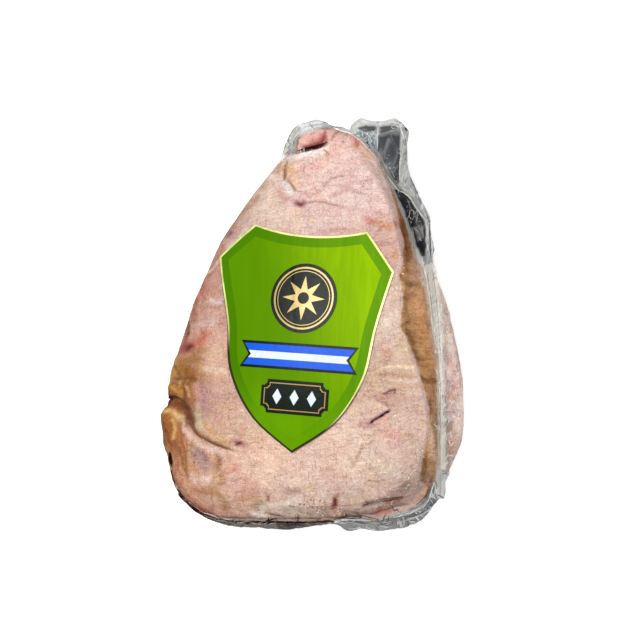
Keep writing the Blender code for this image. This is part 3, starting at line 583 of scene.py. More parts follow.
def side_point(q, section):
    """Part of the way out and height: q is 0 on the rim, 1 on the ledge, 2 at the widest point, 3 at the foot."""
    rim, rim_z, belly_z, foot = (section[key] for key in ("rim", "rim_z", "belly_z", "foot"))
    ways = np.stack([rim * BEYOND_ENDS, rim, section["ledge"], np.ones_like(rim), foot, foot * BEYOND_ENDS])
    ground = 0 * belly_z
    heights = np.stack([dome(BEYOND_ENDS, rim_z), rim_z, section["ledge_z"], belly_z, ground, ground])
    i = np.minimum(q.astype(int), 2)
    s = q - i
    columns = np.arange(len(rim))
    found = []
    for values in (ways, heights):
        found.append(between(*(values[i + k, columns] for k in range(4)), s))
    return found[0], np.maximum(found[1], 0.0)


def root_steps(last_height, section, steps):
    """The q of side_point, among the steps, at which each column comes down to its last height."""
    heights = np.array([side_point(np.full(len(last_height), q), section)[1] for q in steps])
    return np.array([np.interp(-last, -column, steps) for last, column in zip(last_height, heights.T)])


def ring_at(section, way, height):
    """Points of one ring of the cut, at a part of the way out and a height in each column."""
    return np.column_stack([CENTRE + (section["outline"] - CENTRE) * way[:, None], height])


def view_axes():
    """Place of the photo's camera, about the CAD source's own point, and its right, up and back."""
    back = np.array([math.tan(LEAN_RIGHT), -math.tan(LEAN_DOWN), 1.0])
    back /= np.linalg.norm(back)
    up = np.array([0.0, 1.0, 0.0]) - back * back[1]
    up /= np.linalg.norm(up)
    right = np.cross(up, back)
    shift = (PHOTO_SIDE / 2 - AIM_PIXEL) * METRES_PER_PIXEL
    distance = METRES_PER_PIXEL * PHOTO_SIDE * LENS / SENSOR
    return AIM_PLACE + back * distance + right * shift[0] - up * shift[1], right, up, back


def seen(points):
    """The pixel of the photo's frame, across and down, at which each point shows."""
    place, right, up, back = view_axes()
    away = points - place
    scale = LENS / SENSOR * PHOTO_SIDE / -(away @ back)
    return PHOTO_SIDE / 2 + (away @ right) * scale, PHOTO_SIDE / 2 - (away @ up) * scale


def on_level(pixels):
    """Places that show at the given pixels, each on its own level: rows of across, down and height."""
    place, right, up, back = view_axes()
    px, py, height = np.array(pixels, float).T
    scale = SENSOR / LENS / PHOTO_SIDE
    across, down = (px - PHOTO_SIDE / 2) * scale, (py - PHOTO_SIDE / 2) * scale
    way = np.outer(across, right) - np.outer(down, up) - back
    return place + way * ((height - place[2]) / way[:, 2])[:, None]


def toward_view(normals):
    """1 where a surface faces the photo's camera, 0 where it faces away."""
    return smooth_step(-0.25, -0.05, normals @ view_axes()[3])


def with_parts(route):
    """A route whose points without a part have the whole of it."""
    return [(*point, 1.0)[:3] for point in route]


def to_segment(x, y, ax, ay, bx, by):
    """The part of the way along a segment that is nearest to each point, and the distance to it."""
    dx, dy = bx - ax, by - ay
    t = np.clip(((x - ax) * dx + (y - ay) * dy) / (dx * dx + dy * dy), 0.0, 1.0)
    return t, np.hypot(x - ax - t * dx, y - ay - t * dy)


def route_field(x, y, route, half_width):
    """How near each point is to a route, from 0 to the route's part there."""
    best = np.zeros(np.shape(x))
    for (ax, ay, aw), (bx, by, bw) in zip(route, route[1:]):
        t, away = to_segment(x, y, ax, ay, bx, by)
        best = np.maximum(best, (aw + t * (bw - aw)) * np.exp(-(away / half_width) ** 2))
    return best


def patch_field(x, y, px, py, half_length, half_width, turn):
    """A soft oval in plan: 1 in its middle, a third at its half-lengths."""
    c, s = math.cos(math.radians(turn)), math.sin(math.radians(turn))
    along = ((x - px) * c + (y - py) * s) / half_length
    across = ((y - py) * c - (x - px) * s) / half_width
    return np.exp(-(along ** 2 + across ** 2) ** 1.4)


def spots_field(points, spots):
    """The sum of soft ovals, each as strong as its last number says."""
    return sum(strength * patch_field(points[..., 0], points[..., 1], *place) for *place, strength in spots)


def noise(points, cell, seed=0):
    """Smooth noise between -1 and 1 whose features are about a cell across."""
    p = points / cell + 37.7 * (seed + 1)
    base = np.floor(p).astype(np.int64)
    f = p - base
    f = f * f * (3 - 2 * f)
    total = np.zeros(p.shape[:-1])
    for corner in range(8):
        step = np.array([corner & 1, corner >> 1 & 1, corner >> 2 & 1])
        n = ((base + step) * NOISE_FACTORS).sum(axis=-1) + seed * NOISE_SEED_STEP
        n = (n ^ (n >> 13)) * NOISE_MIX & 0x7FFFFFFF
        n = (n ^ (n >> 16)) & 0xFFFF
        weight = np.where(step, f, 1 - f).prod(axis=-1)
        total += weight * (n / 32767.5 - 1)
    return total


def wandering(px, py, points, *waves):
    """Pixels pushed about by noise, so that no edge runs smooth. Each wave: reach, cell and two seeds."""
    for reach, cell, seed_across, seed_down in waves:
        px = px + reach * noise(points, cell, seed_across)
        py = py + reach * noise(points, cell, seed_down)
    return px, py


def ridged(points, cell, seed=0):
    """Sharp crests, 1 on a crest and falling to 0 between them."""
    return 1 - np.minimum(np.abs(noise(points, cell, seed)) * 2.6, 1.0)


def paint(colour):
    """Linear paint that looks like the given colour under the scene's light."""
    c = np.array(colour, float) / 255
    return np.where(c <= 0.04045, c / 12.92, ((c + 0.055) / 1.055) ** 2.4) / LIGHT_GAIN


def mixed(base, colour, amount):
    return base + (np.asarray(colour) - base) * np.asarray(amount)[..., None]


def normals_of(grid, closed=True):
    """Outward normals of a grid of rings that run counter-clockwise and go down and out."""
    around = np.roll(grid, -1, axis=1) - np.roll(grid, 1, axis=1) if closed else np.gradient(grid, axis=1)
    down = np.gradient(grid, axis=0)
    normal = np.cross(down, around)
    return normal / np.maximum(np.linalg.norm(normal, axis=2, keepdims=True), TINY)


def softened(field, rounds, closed=True):
    """A field on a grid of rings, blurred a few cells wide."""
    for _ in range(rounds):
        beside = np.roll(field, 1, axis=1) + np.roll(field, -1, axis=1)
        if not closed:
            beside[:, 0], beside[:, -1] = 2 * field[:, 1], 2 * field[:, -2]
        field = 0.5 * field + 0.25 * beside
        field[1:-1] = 0.5 * field[1:-1] + 0.25 * (field[:-2] + field[2:])
    return field


def form_grid(columns, top_rings, side_rings, last_height=None, core=None):
    """Rings of the plain form from the top's middle out to the foot, or down to each column's last height.

    A core gives the share of the way out that the first tenth of the rings covers.
    """
    section = section_rows(columns)
    q_end = np.full(columns, 3.0)
    if last_height is not None:
        q_end = root_steps(last_height, section, WHOLE_SIDE_STEPS)
    rings = []
    for ring in range(1, top_rings + 1):
        share = ring / top_rings
        part = share if core is None else np.interp(share, [0, 0.1, 1], [0, core, 1])
        rings.append((part * section["rim"], dome(part, section["rim_z"])))
    for ring in range(1, side_rings + 1):
        rings.append(side_point(q_end * ring / side_rings, section))
    return np.array([ring_at(section, *ring) for ring in rings]), section


def surface_height(x, y):
    """Height of the plain form, seen from above, at places inside its ledge."""
    section = section_rows(FINE_COLUMNS)
    offset = section["outline"] - CENTRE
    bearing = np.arctan2(offset[:, 1], offset[:, 0])
    order = np.argsort(bearing)
    place = np.stack([x, y], axis=-1) - CENTRE
    here = np.arctan2(place[..., 1], place[..., 0])
    column = order[np.clip(np.searchsorted(bearing[order], here), 0, len(order) - 1)]
    way = np.linalg.norm(place, axis=-1) / np.linalg.norm(offset[column], axis=-1)
    part = {key: values[column] for key, values in section.items()}
    height = dome(way / part["rim"], part["rim_z"])
    side = np.array([side_point(np.full(len(column), q), part) for q in np.linspace(0, 1.5, 31)])
    for i in np.nonzero(way > part["rim"])[0]:
        height[i] = np.interp(way[i], side[:, 0, i], side[:, 1, i])
    return height


def label_place(x, y):
    """Plan position turned into the label's own plane."""
    c, s = math.cos(SHIELD_TURN), math.sin(SHIELD_TURN)
    dx, dy = x - SHIELD_CENTRE[0], y - SHIELD_CENTRE[1]
    return c * dx + s * dy, -s * dx + c * dy


def place_on_pack(across, up):
    """Plan position of a point of the label."""
    c, s = math.cos(SHIELD_TURN), math.sin(SHIELD_TURN)
    return SHIELD_CENTRE[0] + c * across - s * up, SHIELD_CENTRE[1] + s * across + c * up


def under_label(x, y):
    """1 under the label, falling to 0 a few millimetres outside it."""
    across, up = label_place(x, y)
    half = np.interp(up, *SHIELD_HALF_WIDTHS)
    outside = np.maximum(np.abs(across) - half, np.abs(up) - SHIELD_HALF_HEIGHT)
    return 1 - smooth_step(-0.001, 0.006, outside)


def fat_relief(points, outward):
    """Folds, creases and the soft unevenness of fat, measured outward from the plain form."""
    px, py = wandering(*seen(points), points, (1.0, 0.006, 5, 6))
    lift = 0.001 * sum(height * route_field(px, py, with_parts(route), half_width)
                       for half_width, height, *route in RELIEF.values())
    lumps = (0.00060 * noise(points, 0.024, 1) + 0.00042 * noise(points, 0.011, 2)
             + 0.00028 * noise(points, 0.0055, 3) + 0.00014 * ridged(points * [0.45, 1, 1], 0.0044, 15)
             - 0.00012 * ridged(points * [1, 0.45, 1], 0.0052, 16))
    folded = np.minimum(spots_field(points, FOLDED), 1.0)
    swirl = points + 0.004 * noise(points, 0.017, 8)[..., None] * [1, -0.6, 0]
    lumps = lumps - 0.0008 * folded * ridged(swirl * [1, 0.5, 1], 0.0062, 7) ** 2
    lumps = lumps - 0.0004 * folded * ridged(swirl * [0.6, 1, 1], 0.0034, 9) ** 2
    free = 1 - under_label(points[..., 0], points[..., 1])
    relief = lift * toward_view(outward) + lumps * (0.10 + 0.90 * free)
    return relief * smooth_step(*RELIEF_FADE, points[..., 2])


def area_field(x, y, corners, soft):
    """1 inside a closed outline, falling to 0 across its edge."""
    ring = np.array(corners)
    inside = np.zeros(np.shape(x), bool)
    away = np.full(np.shape(x), np.inf)
    for (ax, ay), (bx, by) in zip(ring, np.roll(ring, -1, axis=0)):
        away = np.minimum(away, to_segment(x, y, ax, ay, bx, by)[1])
        crosses = (ay > y) != (by > y)
        inside ^= crosses & (x < ax + (bx - ax) * (y - ay) / ((by - ay) or TINY))
    return smooth_step(-soft, soft, np.where(inside, away, -away))


def linked(name, data):
    """A new object in the scene."""
    made = bpy.data.objects.new(name, data)
    bpy.context.scene.collection.objects.link(made)
    return made


def to_mesh(name, points, faces, looks, centre=TO_BOX_MIDDLE):
    """A smooth mesh object from points that are drawn about the given centre."""
    mesh = bpy.data.meshes.new(name)
    mesh.from_pydata((np.asarray(points, float) - centre).tolist(), [], faces)
    mesh.validate()
    mesh.shade_smooth()
    mesh.materials.append(looks)
    return linked(name, mesh)


def ring_faces(rings, columns, first=0):
    """Quads between rings of points numbered from first, wound to face outward."""
    faces = []
    for r in range(rings - 1):
        a, b = first + r * columns, first + (r + 1) * columns
        faces += [(a + c, b + c, b + (c + 1) % columns, a + (c + 1) % columns) for c in range(columns)]
    return faces


def cap_faces(pole, start, columns, top):
    """Triangles from a pole to a ring."""
    if top:
        return [(pole, start + c, start + (c + 1) % columns) for c in range(columns)]
    return [(pole, start + (c + 1) % columns, start + c) for c in range(columns)]


def set_colours(target, name, colours):
    layer = target.data.attributes.new(name, "FLOAT_COLOR", "POINT")
    rgba = np.ones((len(colours), 4), np.float32)
    rgba[:, :3] = np.clip(colours, 0, 1)
    layer.data.foreach_set("color", rgba.ravel())


def set_values(target, name, values):
    layer = target.data.attributes.new(name, "FLOAT", "POINT")
    layer.data.foreach_set("value", np.asarray(values, np.float32).ravel())


def graph(name):
    """A new material with an empty node tree."""
    made = bpy.data.materials.new(name)
    made.use_nodes = True
    made.node_tree.nodes.clear()
    return made, made.node_tree


def node(tree, kind, inputs=None, **settings):
    """A shader node, with sockets linked or plain values set on its inputs."""
    made = tree.nodes.new(kind)
    for key, value in settings.items():
        setattr(made, key, value)
    for key, value in (inputs or {}).items():
        if isinstance(value, bpy.types.NodeSocket):
            tree.links.new(value, made.inputs[key])
        else:
            made.inputs[key].default_value = value
    return made


def blend(tree, factor, first, second, how="MIX"):
    """The colour mix of two sockets or colours."""
    made = node(tree, "ShaderNodeMix", {0: factor, 6: first, 7: second}, data_type="RGBA", blend_type=how)
    return made.outputs[2]


def ramp(tree, value, low, high, low_out=0.0, high_out=1.0):
    inputs = {"Value": value, "From Min": low, "From Max": high, "To Min": low_out, "To Max": high_out}
    return node(tree, "ShaderNodeMapRange", inputs, interpolation_type="SMOOTHSTEP").outputs[0]


def sums(tree, operation, first, second):
    return node(tree, "ShaderNodeMath", {0: first, 1: second}, operation=operation).outputs[0]


def times(tree, first, second):
    return sums(tree, "MULTIPLY", first, second)


def plus(tree, first, second):
    return sums(tree, "ADD", first, second)


def rest(tree, value):
    """What is left of 1."""
    return sums(tree, "SUBTRACT", 1.0, value)


def object_place(tree, stretch=(1.0, 1.0, 1.0), turn=0.0):
    coordinates = node(tree, "ShaderNodeTexCoord").outputs["Object"]
    return node(tree, "ShaderNodeMapping", {"Vector": coordinates, "Scale": stretch,
                                            "Rotation": (0.0, 0.0, turn)}).outputs[0]


def cloud(tree, place, size, detail=3.0, roughness=0.55, distortion=0.0):
    """Noise whose features are about size metres."""
    return node(tree, "ShaderNodeTexNoise", {
        "Vector": place, "Scale": 1.0 / size, "Detail": detail, "Roughness": roughness,
        "Distortion": distortion}).outputs["Fac"]


def own(tree, name, kind="Fac"):
    """A value or colour that each point of the mesh has for itself."""
    return node(tree, "ShaderNodeAttribute", attribute_name=name).outputs[kind]


def bumped(tree, height, strength, distance):
    inputs = {"Height": height, "Strength": strength, "Distance": distance}
    return node(tree, "ShaderNodeBump", inputs).outputs[0]


def finished(made, tree, inputs):
    """The material, ended with one shader that has the given inputs."""
    shader = node(tree, "ShaderNodeBsdfPrincipled", inputs)
    node(tree, "ShaderNodeOutputMaterial", {"Surface": shader.outputs[0]})
    return made


def crinkle_lines(tree, place, size, width, detail=3.0, distortion=0.4):
    """Thin bright lines where noise crosses its middle."""
    value = cloud(tree, place, size, detail, 0.6, distortion)
    return ramp(tree, sums(tree, "ABSOLUTE", sums(tree, "SUBTRACT", value, 0.5), 0.0), 0.0, width, 1.0, 0.0)


def tinted(tree, colour, amount, part, factor):
    """The colour times a factor, where the amount is high, up to a part of it."""
    return blend(tree, times(tree, amount, part), colour, (*factor, 1), "MULTIPLY")


def fat_material():
    made, tree = graph("fat")
    place = object_place(tree)
    turned = object_place(tree, (1, 1, 1), 0.7)
    across = object_place(tree, (0.40, 1.0, 1.0), -0.15)
    upright = object_place(tree, (1.0, 0.36, 1.0), 0.35)
    colour = own(tree, "tint", "Color")
    cut = own(tree, "cut")
    speckle = own(tree, "speckle")
    # drifts of rose, cream and mauve, then flecks of tan and pale dashes
    rose = ramp(tree, cloud(tree, place, 0.018, 3.0, 0.55, 0.8), 0.44, 0.64)
    colour = tinted(tree, colour, rose, 0.7, (0.99, 0.88, 0.86))
    cream = ramp(tree, cloud(tree, turned, 0.014, 3.0, 0.6, 0.9), 0.50, 0.68)
    colour = tinted(tree, colour, cream, 0.8, (1.05, 1.04, 0.90))
    mauve = ramp(tree, cloud(tree, across, 0.0090, 4.0, 0.62, 1.2), 0.50, 0.68)
    colour = tinted(tree, colour, mauve, 0.85, (0.84, 0.77, 0.80))
    tan = ramp(tree, cloud(tree, turned, 0.0030, 4.0, 0.65, 1.0), 0.56, 0.70)
    colour = tinted(tree, colour, tan, 0.42, (0.76, 0.62, 0.52))
    pale = ramp(tree, cloud(tree, across, 0.0026, 4.0, 0.66, 0.8), 0.52, 0.66)
    colour = tinted(tree, colour, pale, 0.9, (1.15, 1.20, 1.22))
    # fine wrinkles: pale threads one way as painted highlights, darker ones the other as painted shade in the
    # grooves
    thread = crinkle_lines(tree, across, 0.0052, 0.014, 4.0, 1.0)
    colour = tinted(tree, colour, thread, 1.0, (1.18, 1.24, 1.28))
    furrow = crinkle_lines(tree, upright, 0.0060, 0.013, 4.0, 1.0)
    colour = tinted(tree, colour, furrow, 0.9, (0.72, 0.60, 0.56))
    # long soft wrinkles, level in some places and slanting in others
    level = cloud(tree, object_place(tree, (0.34, 1.0, 1.0), -0.12), 0.0050, 4.0, 0.62, 2.2)
    slanting = cloud(tree, object_place(tree, (0.30, 1.0, 1.0), -0.95), 0.0050, 4.0, 0.62, 2.2)
    which = ramp(tree, cloud(tree, place, 0.034, 2.0, 0.5), 0.44, 0.56)
    wrinkle = plus(tree, times(tree, level, which), times(tree, slanting, rest(tree, which)))
    folded = ramp(tree, cloud(tree, turned, 0.020, 2.0, 0.5), 0.38, 0.62, 0.5, 1.0)
    # painted shade in the wrinkles' sunk parts, painted highlights on their raised parts
    sunk_shade = times(tree, ramp(tree, wrinkle, 0.48, 0.34), folded)
    colour = tinted(tree, colour, sunk_shade, 1.0, (0.76, 0.66, 0.63))
    raised = times(tree, ramp(tree, wrinkle, 0.53, 0.67), folded)
    colour = tinted(tree, colour, raised, 1.0, (1.12, 1.16, 1.18))
    grain = ramp(tree, cloud(tree, place, 0.0009, 2.0, 0.7), 0.36, 0.64)
    colour = tinted(tree, colour, rest(tree, grain), 0.75, (0.78, 0.70, 0.68))
    colour = tinted(tree, colour, grain, 0.75, (1.14, 1.16, 1.17))
    # crosswise fibres on the brown wall
    fibre = cloud(tree, object_place(tree, (0.30, 1.6, 0.30), 0.35), 0.0028, 4.0, 0.7, 0.8)
    colour = tinted(tree, colour, times(tree, ramp(tree, fibre, 0.46, 0.62), cut), 0.8, (0.72, 0.64, 0.56))
    colour = tinted(tree, colour, times(tree, ramp(tree, fibre, 0.50, 0.36), cut), 0.8, (1.16, 1.18, 1.20))
    # small blood dots
    dots = node(tree, "ShaderNodeTexVoronoi", {"Vector": place, "Scale": 640.0, "Randomness": 1.0})
    spread = ramp(tree, cloud(tree, place, 0.006, 2.0), 0.36, 0.62)
    dot = ramp(tree, dots.outputs["Distance"], 0.14, 0.40, 1.0, 0.0)
    dotted = times(tree, times(tree, dot, spread), speckle)
    colour = tinted(tree, colour, dotted, 0.85, (0.58, 0.34, 0.40))
    height = plus(tree, cloud(tree, place, 0.0024, 5.0, 0.62), times(tree, wrinkle, 1.6))
    height = plus(tree, height, times(tree, sums(tree, "SUBTRACT", thread, furrow), 0.25))
    bump = bumped(tree, height, 0.60, 0.0010)
    roughness = ramp(tree, cloud(tree, place, 0.006, 3.0), 0.3, 0.7, 0.34, 0.56)
    return finished(made, tree, {
        "Base Color": colour, "Roughness": roughness, "Normal": bump, "Subsurface Weight": 0.05,
        "Subsurface Radius": (1.0, 0.45, 0.28), "Subsurface Scale": 0.0010, "Specular IOR Level": 0.14,
        "Coat Weight": 0.10, "Coat Roughness": 0.14, "Coat Normal": bump})


def line_material(name, roughness, shine):
    """Narrow creases, each in its own colour."""
    made, tree = graph(name)
    tint = own(tree, "tint", "Color")
    wear = ramp(tree, cloud(tree, object_place(tree), 0.0030, 3.0, 0.6), 0.35, 0.65)
    colour = tinted(tree, tint, wear, 0.5, (0.80, 0.80, 0.80))
    bump = bumped(tree, wear, 0.3, 0.0004)
    alpha = ramp(tree, cloud(tree, object_place(tree), 0.0042, 3.0, 0.6), 0.30, 0.50, 0.55, 0.95)
    return finished(made, tree, {
        "Base Color": colour, "Roughness": roughness, "Normal": bump, "Alpha": alpha,
        "Specular IOR Level": shine})


def lean_material():
    made, tree = graph("lean")
    place = object_place(tree)
    grain = object_place(tree, (0.35, 1.0, 1.0), 0.5)
    muscle = ramp(tree, cloud(tree, grain, 0.003, 5.0, 0.65, 0.5), 0.3, 0.7)
    colour = blend(tree, muscle, (0.060, 0.009, 0.005, 1), (0.16, 0.030, 0.016, 1))
    membrane = ramp(tree, cloud(tree, place, 0.016, 4.0, 0.6, 1.2), 0.60, 0.76)
    colour = blend(tree, times(tree, membrane, 0.45), colour, (0.38, 0.20, 0.16, 1))
    bump = bumped(tree, muscle, 0.5, 0.0010)
    return finished(made, tree, {
        "Base Color": colour, "Roughness": 0.38, "Normal": bump, "Subsurface Weight": 0.06,
        "Subsurface Radius": (1.0, 0.2, 0.15), "Subsurface Scale": 0.0018, "Coat Weight": 0.4,
        "Coat Roughness": 0.14, "Coat Normal": bump})


def skin_material():
    """Film that lies tight on the cut: clear, with pale threads where it is creased."""
    made, tree = graph("film_tight")
    crease = own(tree, "crease")
    place = object_place(tree)
    thread = crinkle_lines(tree, object_place(tree, (1.0, 0.30, 0.6), 0.3), 0.0060, 0.020, 4.0, 0.6)
    shown = plus(tree, times(tree, thread, 0.8), 0.2)
    alpha = plus(tree, times(tree, shown, crease), 0.01)
    bump = bumped(tree, cloud(tree, place, 0.0035, 3.0, 0.6, 0.4), 0.5, 0.0010)
    return finished(made, tree, {
        "Base Color": (0.80, 0.79, 0.76, 1), "Roughness": 0.14, "Normal": bump, "Alpha": alpha,
        "Specular IOR Level": 0.6})


def margin_material():
    """Loose film: painted shade where two walls lie over shade, painted sheen and pale threads along its
    crumples.
    """
    made, tree = graph("film_loose")
    tint = own(tree, "tint", "Color")
    cover = own(tree, "cover")
    crinkle = own(tree, "crinkle")
    place = object_place(tree)
    long_place = object_place(tree, (1.0, 0.28, 1.0), 0.28)
    long_lines = crinkle_lines(tree, long_place, 0.0052, 0.012, 4.0, 0.5)
    cross_lines = crinkle_lines(tree, object_place(tree, (0.5, 1.0, 1.0), -0.4), 0.0046, 0.009, 3.0, 0.8)
    lines = times(tree, sums(tree, "MAXIMUM", long_lines, times(tree, cross_lines, 0.6)), crinkle)
    shade = ramp(tree, cloud(tree, place, 0.0045, 4.0, 0.65, 0.5), 0.36, 0.70)
    colour = tinted(tree, tint, shade, 0.40, (0.70, 0.71, 0.73))
    # painted sheen where the film is crinkled
    painted_bright = ramp(tree, cloud(tree, long_place, 0.0030, 4.0, 0.65, 0.5), 0.50, 0.72)
    colour = tinted(tree, colour, times(tree, painted_bright, crinkle), 0.90, (1.34, 1.34, 1.34))
    colour = blend(tree, times(tree, lines, 0.45), colour, (0.52, 0.52, 0.50, 1))
    alpha = sums(tree, "MINIMUM", plus(tree, cover, times(tree, lines, 0.40)), 0.98)
    height = plus(tree, cloud(tree, long_place, 0.0030, 4.0, 0.65), times(tree, lines, 0.5))
    uneven = plus(tree, crinkle, 0.03)
    bump = bumped(tree, height, uneven, 0.0011)
    shine = ramp(tree, crinkle, 0.05, 0.30, 0.10, 0.27)
    return finished(made, tree, {
        "Base Color": colour, "Roughness": 0.26, "Normal": bump, "Alpha": alpha,
        "Specular IOR Level": shine})


def fat_colours(grid, relief, section):
    """The paint of each point of the fat cap."""
    px, py = wandering(*seen(grid), grid, (1.1, 0.006, 11, 13), (0.7, 0.0022, 12, 14))
    tones = FAT_TONE.values()
    weights = [np.exp(-((px - tx) ** 2 + (py - ty) ** 2) / TONE_REACH ** 2) + 1e-9 for tx, ty, _ in tones]
    tint = sum(w[..., None] * paint(colour) for w, (_, _, colour) in zip(weights, tones))
    tint = tint / sum(weights)[..., None]
    front = toward_view(normals_of(grid))
    for half_width, colour, strength, *route in sorted(STAINS.values(), key=lambda stain: -stain[0]):
        near = route_field(px, py, with_parts(route), half_width)
        tint = mixed(tint, paint(colour), strength * near * front)
    # the wall's tan with the rim's painted shadow on it
    wall = area_field(px, py, SHADED_WALL_AREA, 0.7) * front
    brown = np.broadcast_to(paint(WALL_TAN_AND_SHADOW), tint.shape)
    for half_width, colour, strength, *route in WALL_STAINS_AND_SHADOW.values():
        brown = mixed(brown, paint(colour), strength * route_field(px, py, with_parts(route), half_width))
    tint = tint + (brown - tint) * wall[..., None]
    # painted shade in the hollows of the relief, painted highlights on its crests
    cavity_shade_and_crest_light = (softened(relief, 6) - relief) * (1 - 0.8 * wall)
    tint = mixed(tint, tint * [0.66, 0.52, 0.42], np.clip(cavity_shade_and_crest_light / 0.00045, 0, 1) * 0.60)
    tint = mixed(tint, tint * [1.10, 1.12, 1.14], np.clip(-cavity_shade_and_crest_light / 0.00035, 0, 1))
    # the hem browns where it meets the lean
    hem = smooth_step(0.006, 0.0, grid[..., 2] - hem_heights(section))
    return mixed(tint, paint((128, 70, 48)), 0.40 * hem), wall


def hem_heights(section):
    """Height of the fat's lower edge in each column, with its notches and an uneven line."""
    x, y = section["outline"].T
    hem = section["hem"].copy()
    for nx, ny, reach, rise in HEM_NOTCHES:
        hem += rise * np.exp(-((x - nx) ** 2 + (y - ny) ** 2) / reach ** 2)
    edge = np.column_stack([x, y, np.zeros_like(x)])
    return hem + 0.0012 * noise(edge, 0.012, 18) + 0.0006 * noise(edge, 0.004, 19)


def make_fat():
    """The fat cap: a fine shell from the middle of the top down to its hem, where it turns under."""
    columns = FAT_GRID[0]
    grid, section = form_grid(*FAT_GRID, hem_heights(section_rows(columns)), FAT_CORE)
    outward = normals_of(grid)
    relief = fat_relief(grid, outward)
    tint, cut = fat_colours(grid, relief, section)
    speckle = spots_field(grid, SPECKLED)
    shaped = grid + outward * (FAT_LIFT + relief)[..., None]
    # turn the hem under, each ring further in and the last ones back up
    last, inward = shaped[-1], -outward[-1] * [1, 1, 0]
    turned = [last + inward * reach + [0, 0, rise] for reach, rise in HEM_TURN]
    shaped = np.concatenate([shaped, np.array(turned)])
    none = np.zeros((len(HEM_TURN), columns))
    tint = np.concatenate([tint, np.repeat(tint[-1:], len(HEM_TURN), axis=0)])
    speckle, cut = np.concatenate([speckle, none]), np.concatenate([cut, none])
    points = np.vstack([[[*CENTRE, CROWN_HEIGHT + FAT_LIFT]], shaped.reshape(-1, 3)])
    faces = cap_faces(0, 1, columns, True) + ring_faces(len(shaped), columns, 1)
    fat = to_mesh("fat_cap", points, faces, fat_material())
    set_colours(fat, "tint", np.vstack([tint[0].mean(axis=0), tint.reshape(-1, 3)]))
    set_values(fat, "speckle", np.concatenate([[0.0], speckle.ravel()]))
    set_values(fat, "cut", np.concatenate([[0.0], cut.ravel()]))
    return fat


def closed_below(rings, first_part, top):
    """Points and faces of a closed body: a pole at the top, the rings, and flat rings to a pole below."""
    rings[..., 2] = np.maximum(rings[..., 2], 0.0)
    columns = rings.shape[1]
    flat = rings[-1] * [1, 1, 0]
    middle = np.array([*CENTRE, 0.0])
    under = [middle + (flat - middle) * part for part in np.linspace(first_part, 0.08, UNDER_RINGS)]
    rings = np.concatenate([rings, np.array(under)])
    points = np.vstack([[[*CENTRE, top]], rings.reshape(-1, 3), [middle]])
    faces = cap_faces(0, 1, columns, True) + ring_faces(len(rings), columns, 1)
    return points, faces + cap_faces(len(points) - 1, 1 + (len(rings) - 1) * columns, columns, False)


def make_lean():
    """The lean meat below the fat: a closed body a little inside the plain form, flat where it rests."""
    grid, section = form_grid(*LEAN_GRID)
    outward = normals_of(grid)
    strands = 0.0007 * ridged(grid * [0.5, 1, 1], 0.011, 21) - 0.0005 + 0.0005 * noise(grid, 0.018, 22)
    above = smooth_step(-0.001, 0.004, grid[..., 2] - hem_heights(section))
    lift = LEAN_LIFT + strands * smooth_step(0.001, 0.008, grid[..., 2])
    lift = lift + (LEAN_UNDER_FAT - lift) * above
    shaped = grid + outward * lift[..., None]
    shaped[-1, :, 2] = 0.0
    return to_mesh("lean_meat", *closed_below(shaped, 0.96, CROWN_HEIGHT + LEAN_UNDER_FAT), lean_material())


def make_skin():
    """The film drawn tight over the cut. It bridges the narrow creases of the fat."""
    grid, _ = form_grid(*SKIN_GRID)
    outward = normals_of(grid)
    relief = fat_relief(grid, outward)
    bridged = relief.copy()
    for _ in range(5):
        bridged = np.maximum(relief, softened(bridged, 1))
    side = smooth_step(0.034, 0.020, grid[..., 2])
    right = smooth_step(0.060, 0.085, grid[..., 0])
    crease = 0.006 + 0.012 * side + 0.20 * side * right
    free = 1 - under_label(grid[..., 0], grid[..., 1])
    lift = FAT_LIFT + bridged + 0.0004 + SKIN_LIFT + 0.0003 * side * ridged(grid, 0.010, 32) ** 3 * free
    shaped = grid + outward * lift[..., None]
    skin = to_mesh("film_skin", *closed_below(shaped, 0.97, CROWN_HEIGHT + SKIN_LIFT), skin_material())
    none = np.zeros(UNDER_RINGS * SKIN_GRID[0] + 1)
    set_values(skin, "crease", np.concatenate([[0.0], crease.ravel(), none]))
    return skin


# Broad folds of the loose film in pixels of the photo's frame: half-width, height in millimetres, route
FILM_FOLDS = {
    "flap_top": (3.4, 2.4, (354, 128), (362, 122), (380, 124), (394, 122.5), (404, 126)),
    "flap_side": (3.0, 2.2, (406, 128), (404, 150), (403, 170), (407, 186)),
    "flap_strand": (1.8, 1.6, (389, 178), (398, 189.5), (411, 199), (421, 214), (427, 228), (428, 250)),
    "flap_border": (2.0, 1.6, (411, 174), (420, 197), (429, 216), (433, 245), (434, 266)),
    "slate_crease": (1.6, 0.4, (391, 134), (394, 142), (399, 150)),
    "seam_high": (1.8, 0.8, (426, 268), (431, 300), (434, 330), (437, 352)),
    "seam_outer": (1.8, 0.8, (434, 262), (438, 290), (440, 320), (441, 345)),
    "seam_low": (1.6, 0.9, (440, 352), (442, 380), (443, 410), (443, 440), (442, 468)),
    "corner_sweep": (2.0, 1.4, (431, 496), (424, 505), (414, 511), (396, 517)),
    "corner_outer": (2.0, 1.4, (437, 502), (428, 511), (418, 517), (400, 523)),
    "corner_flap": (1.8, 1.0, (446, 474), (443, 486), (442, 497)),
    "base_sweep": (1.8, 1.0, (388, 524), (370, 527), (350, 528)),
    "tip_edge": (2.2, 0.8, (285, 150), (290, 136), (299, 125), (310, 122)),
    "tip_inner": (2.0, 0.7, (292, 150), (296, 138), (304, 128)),
}
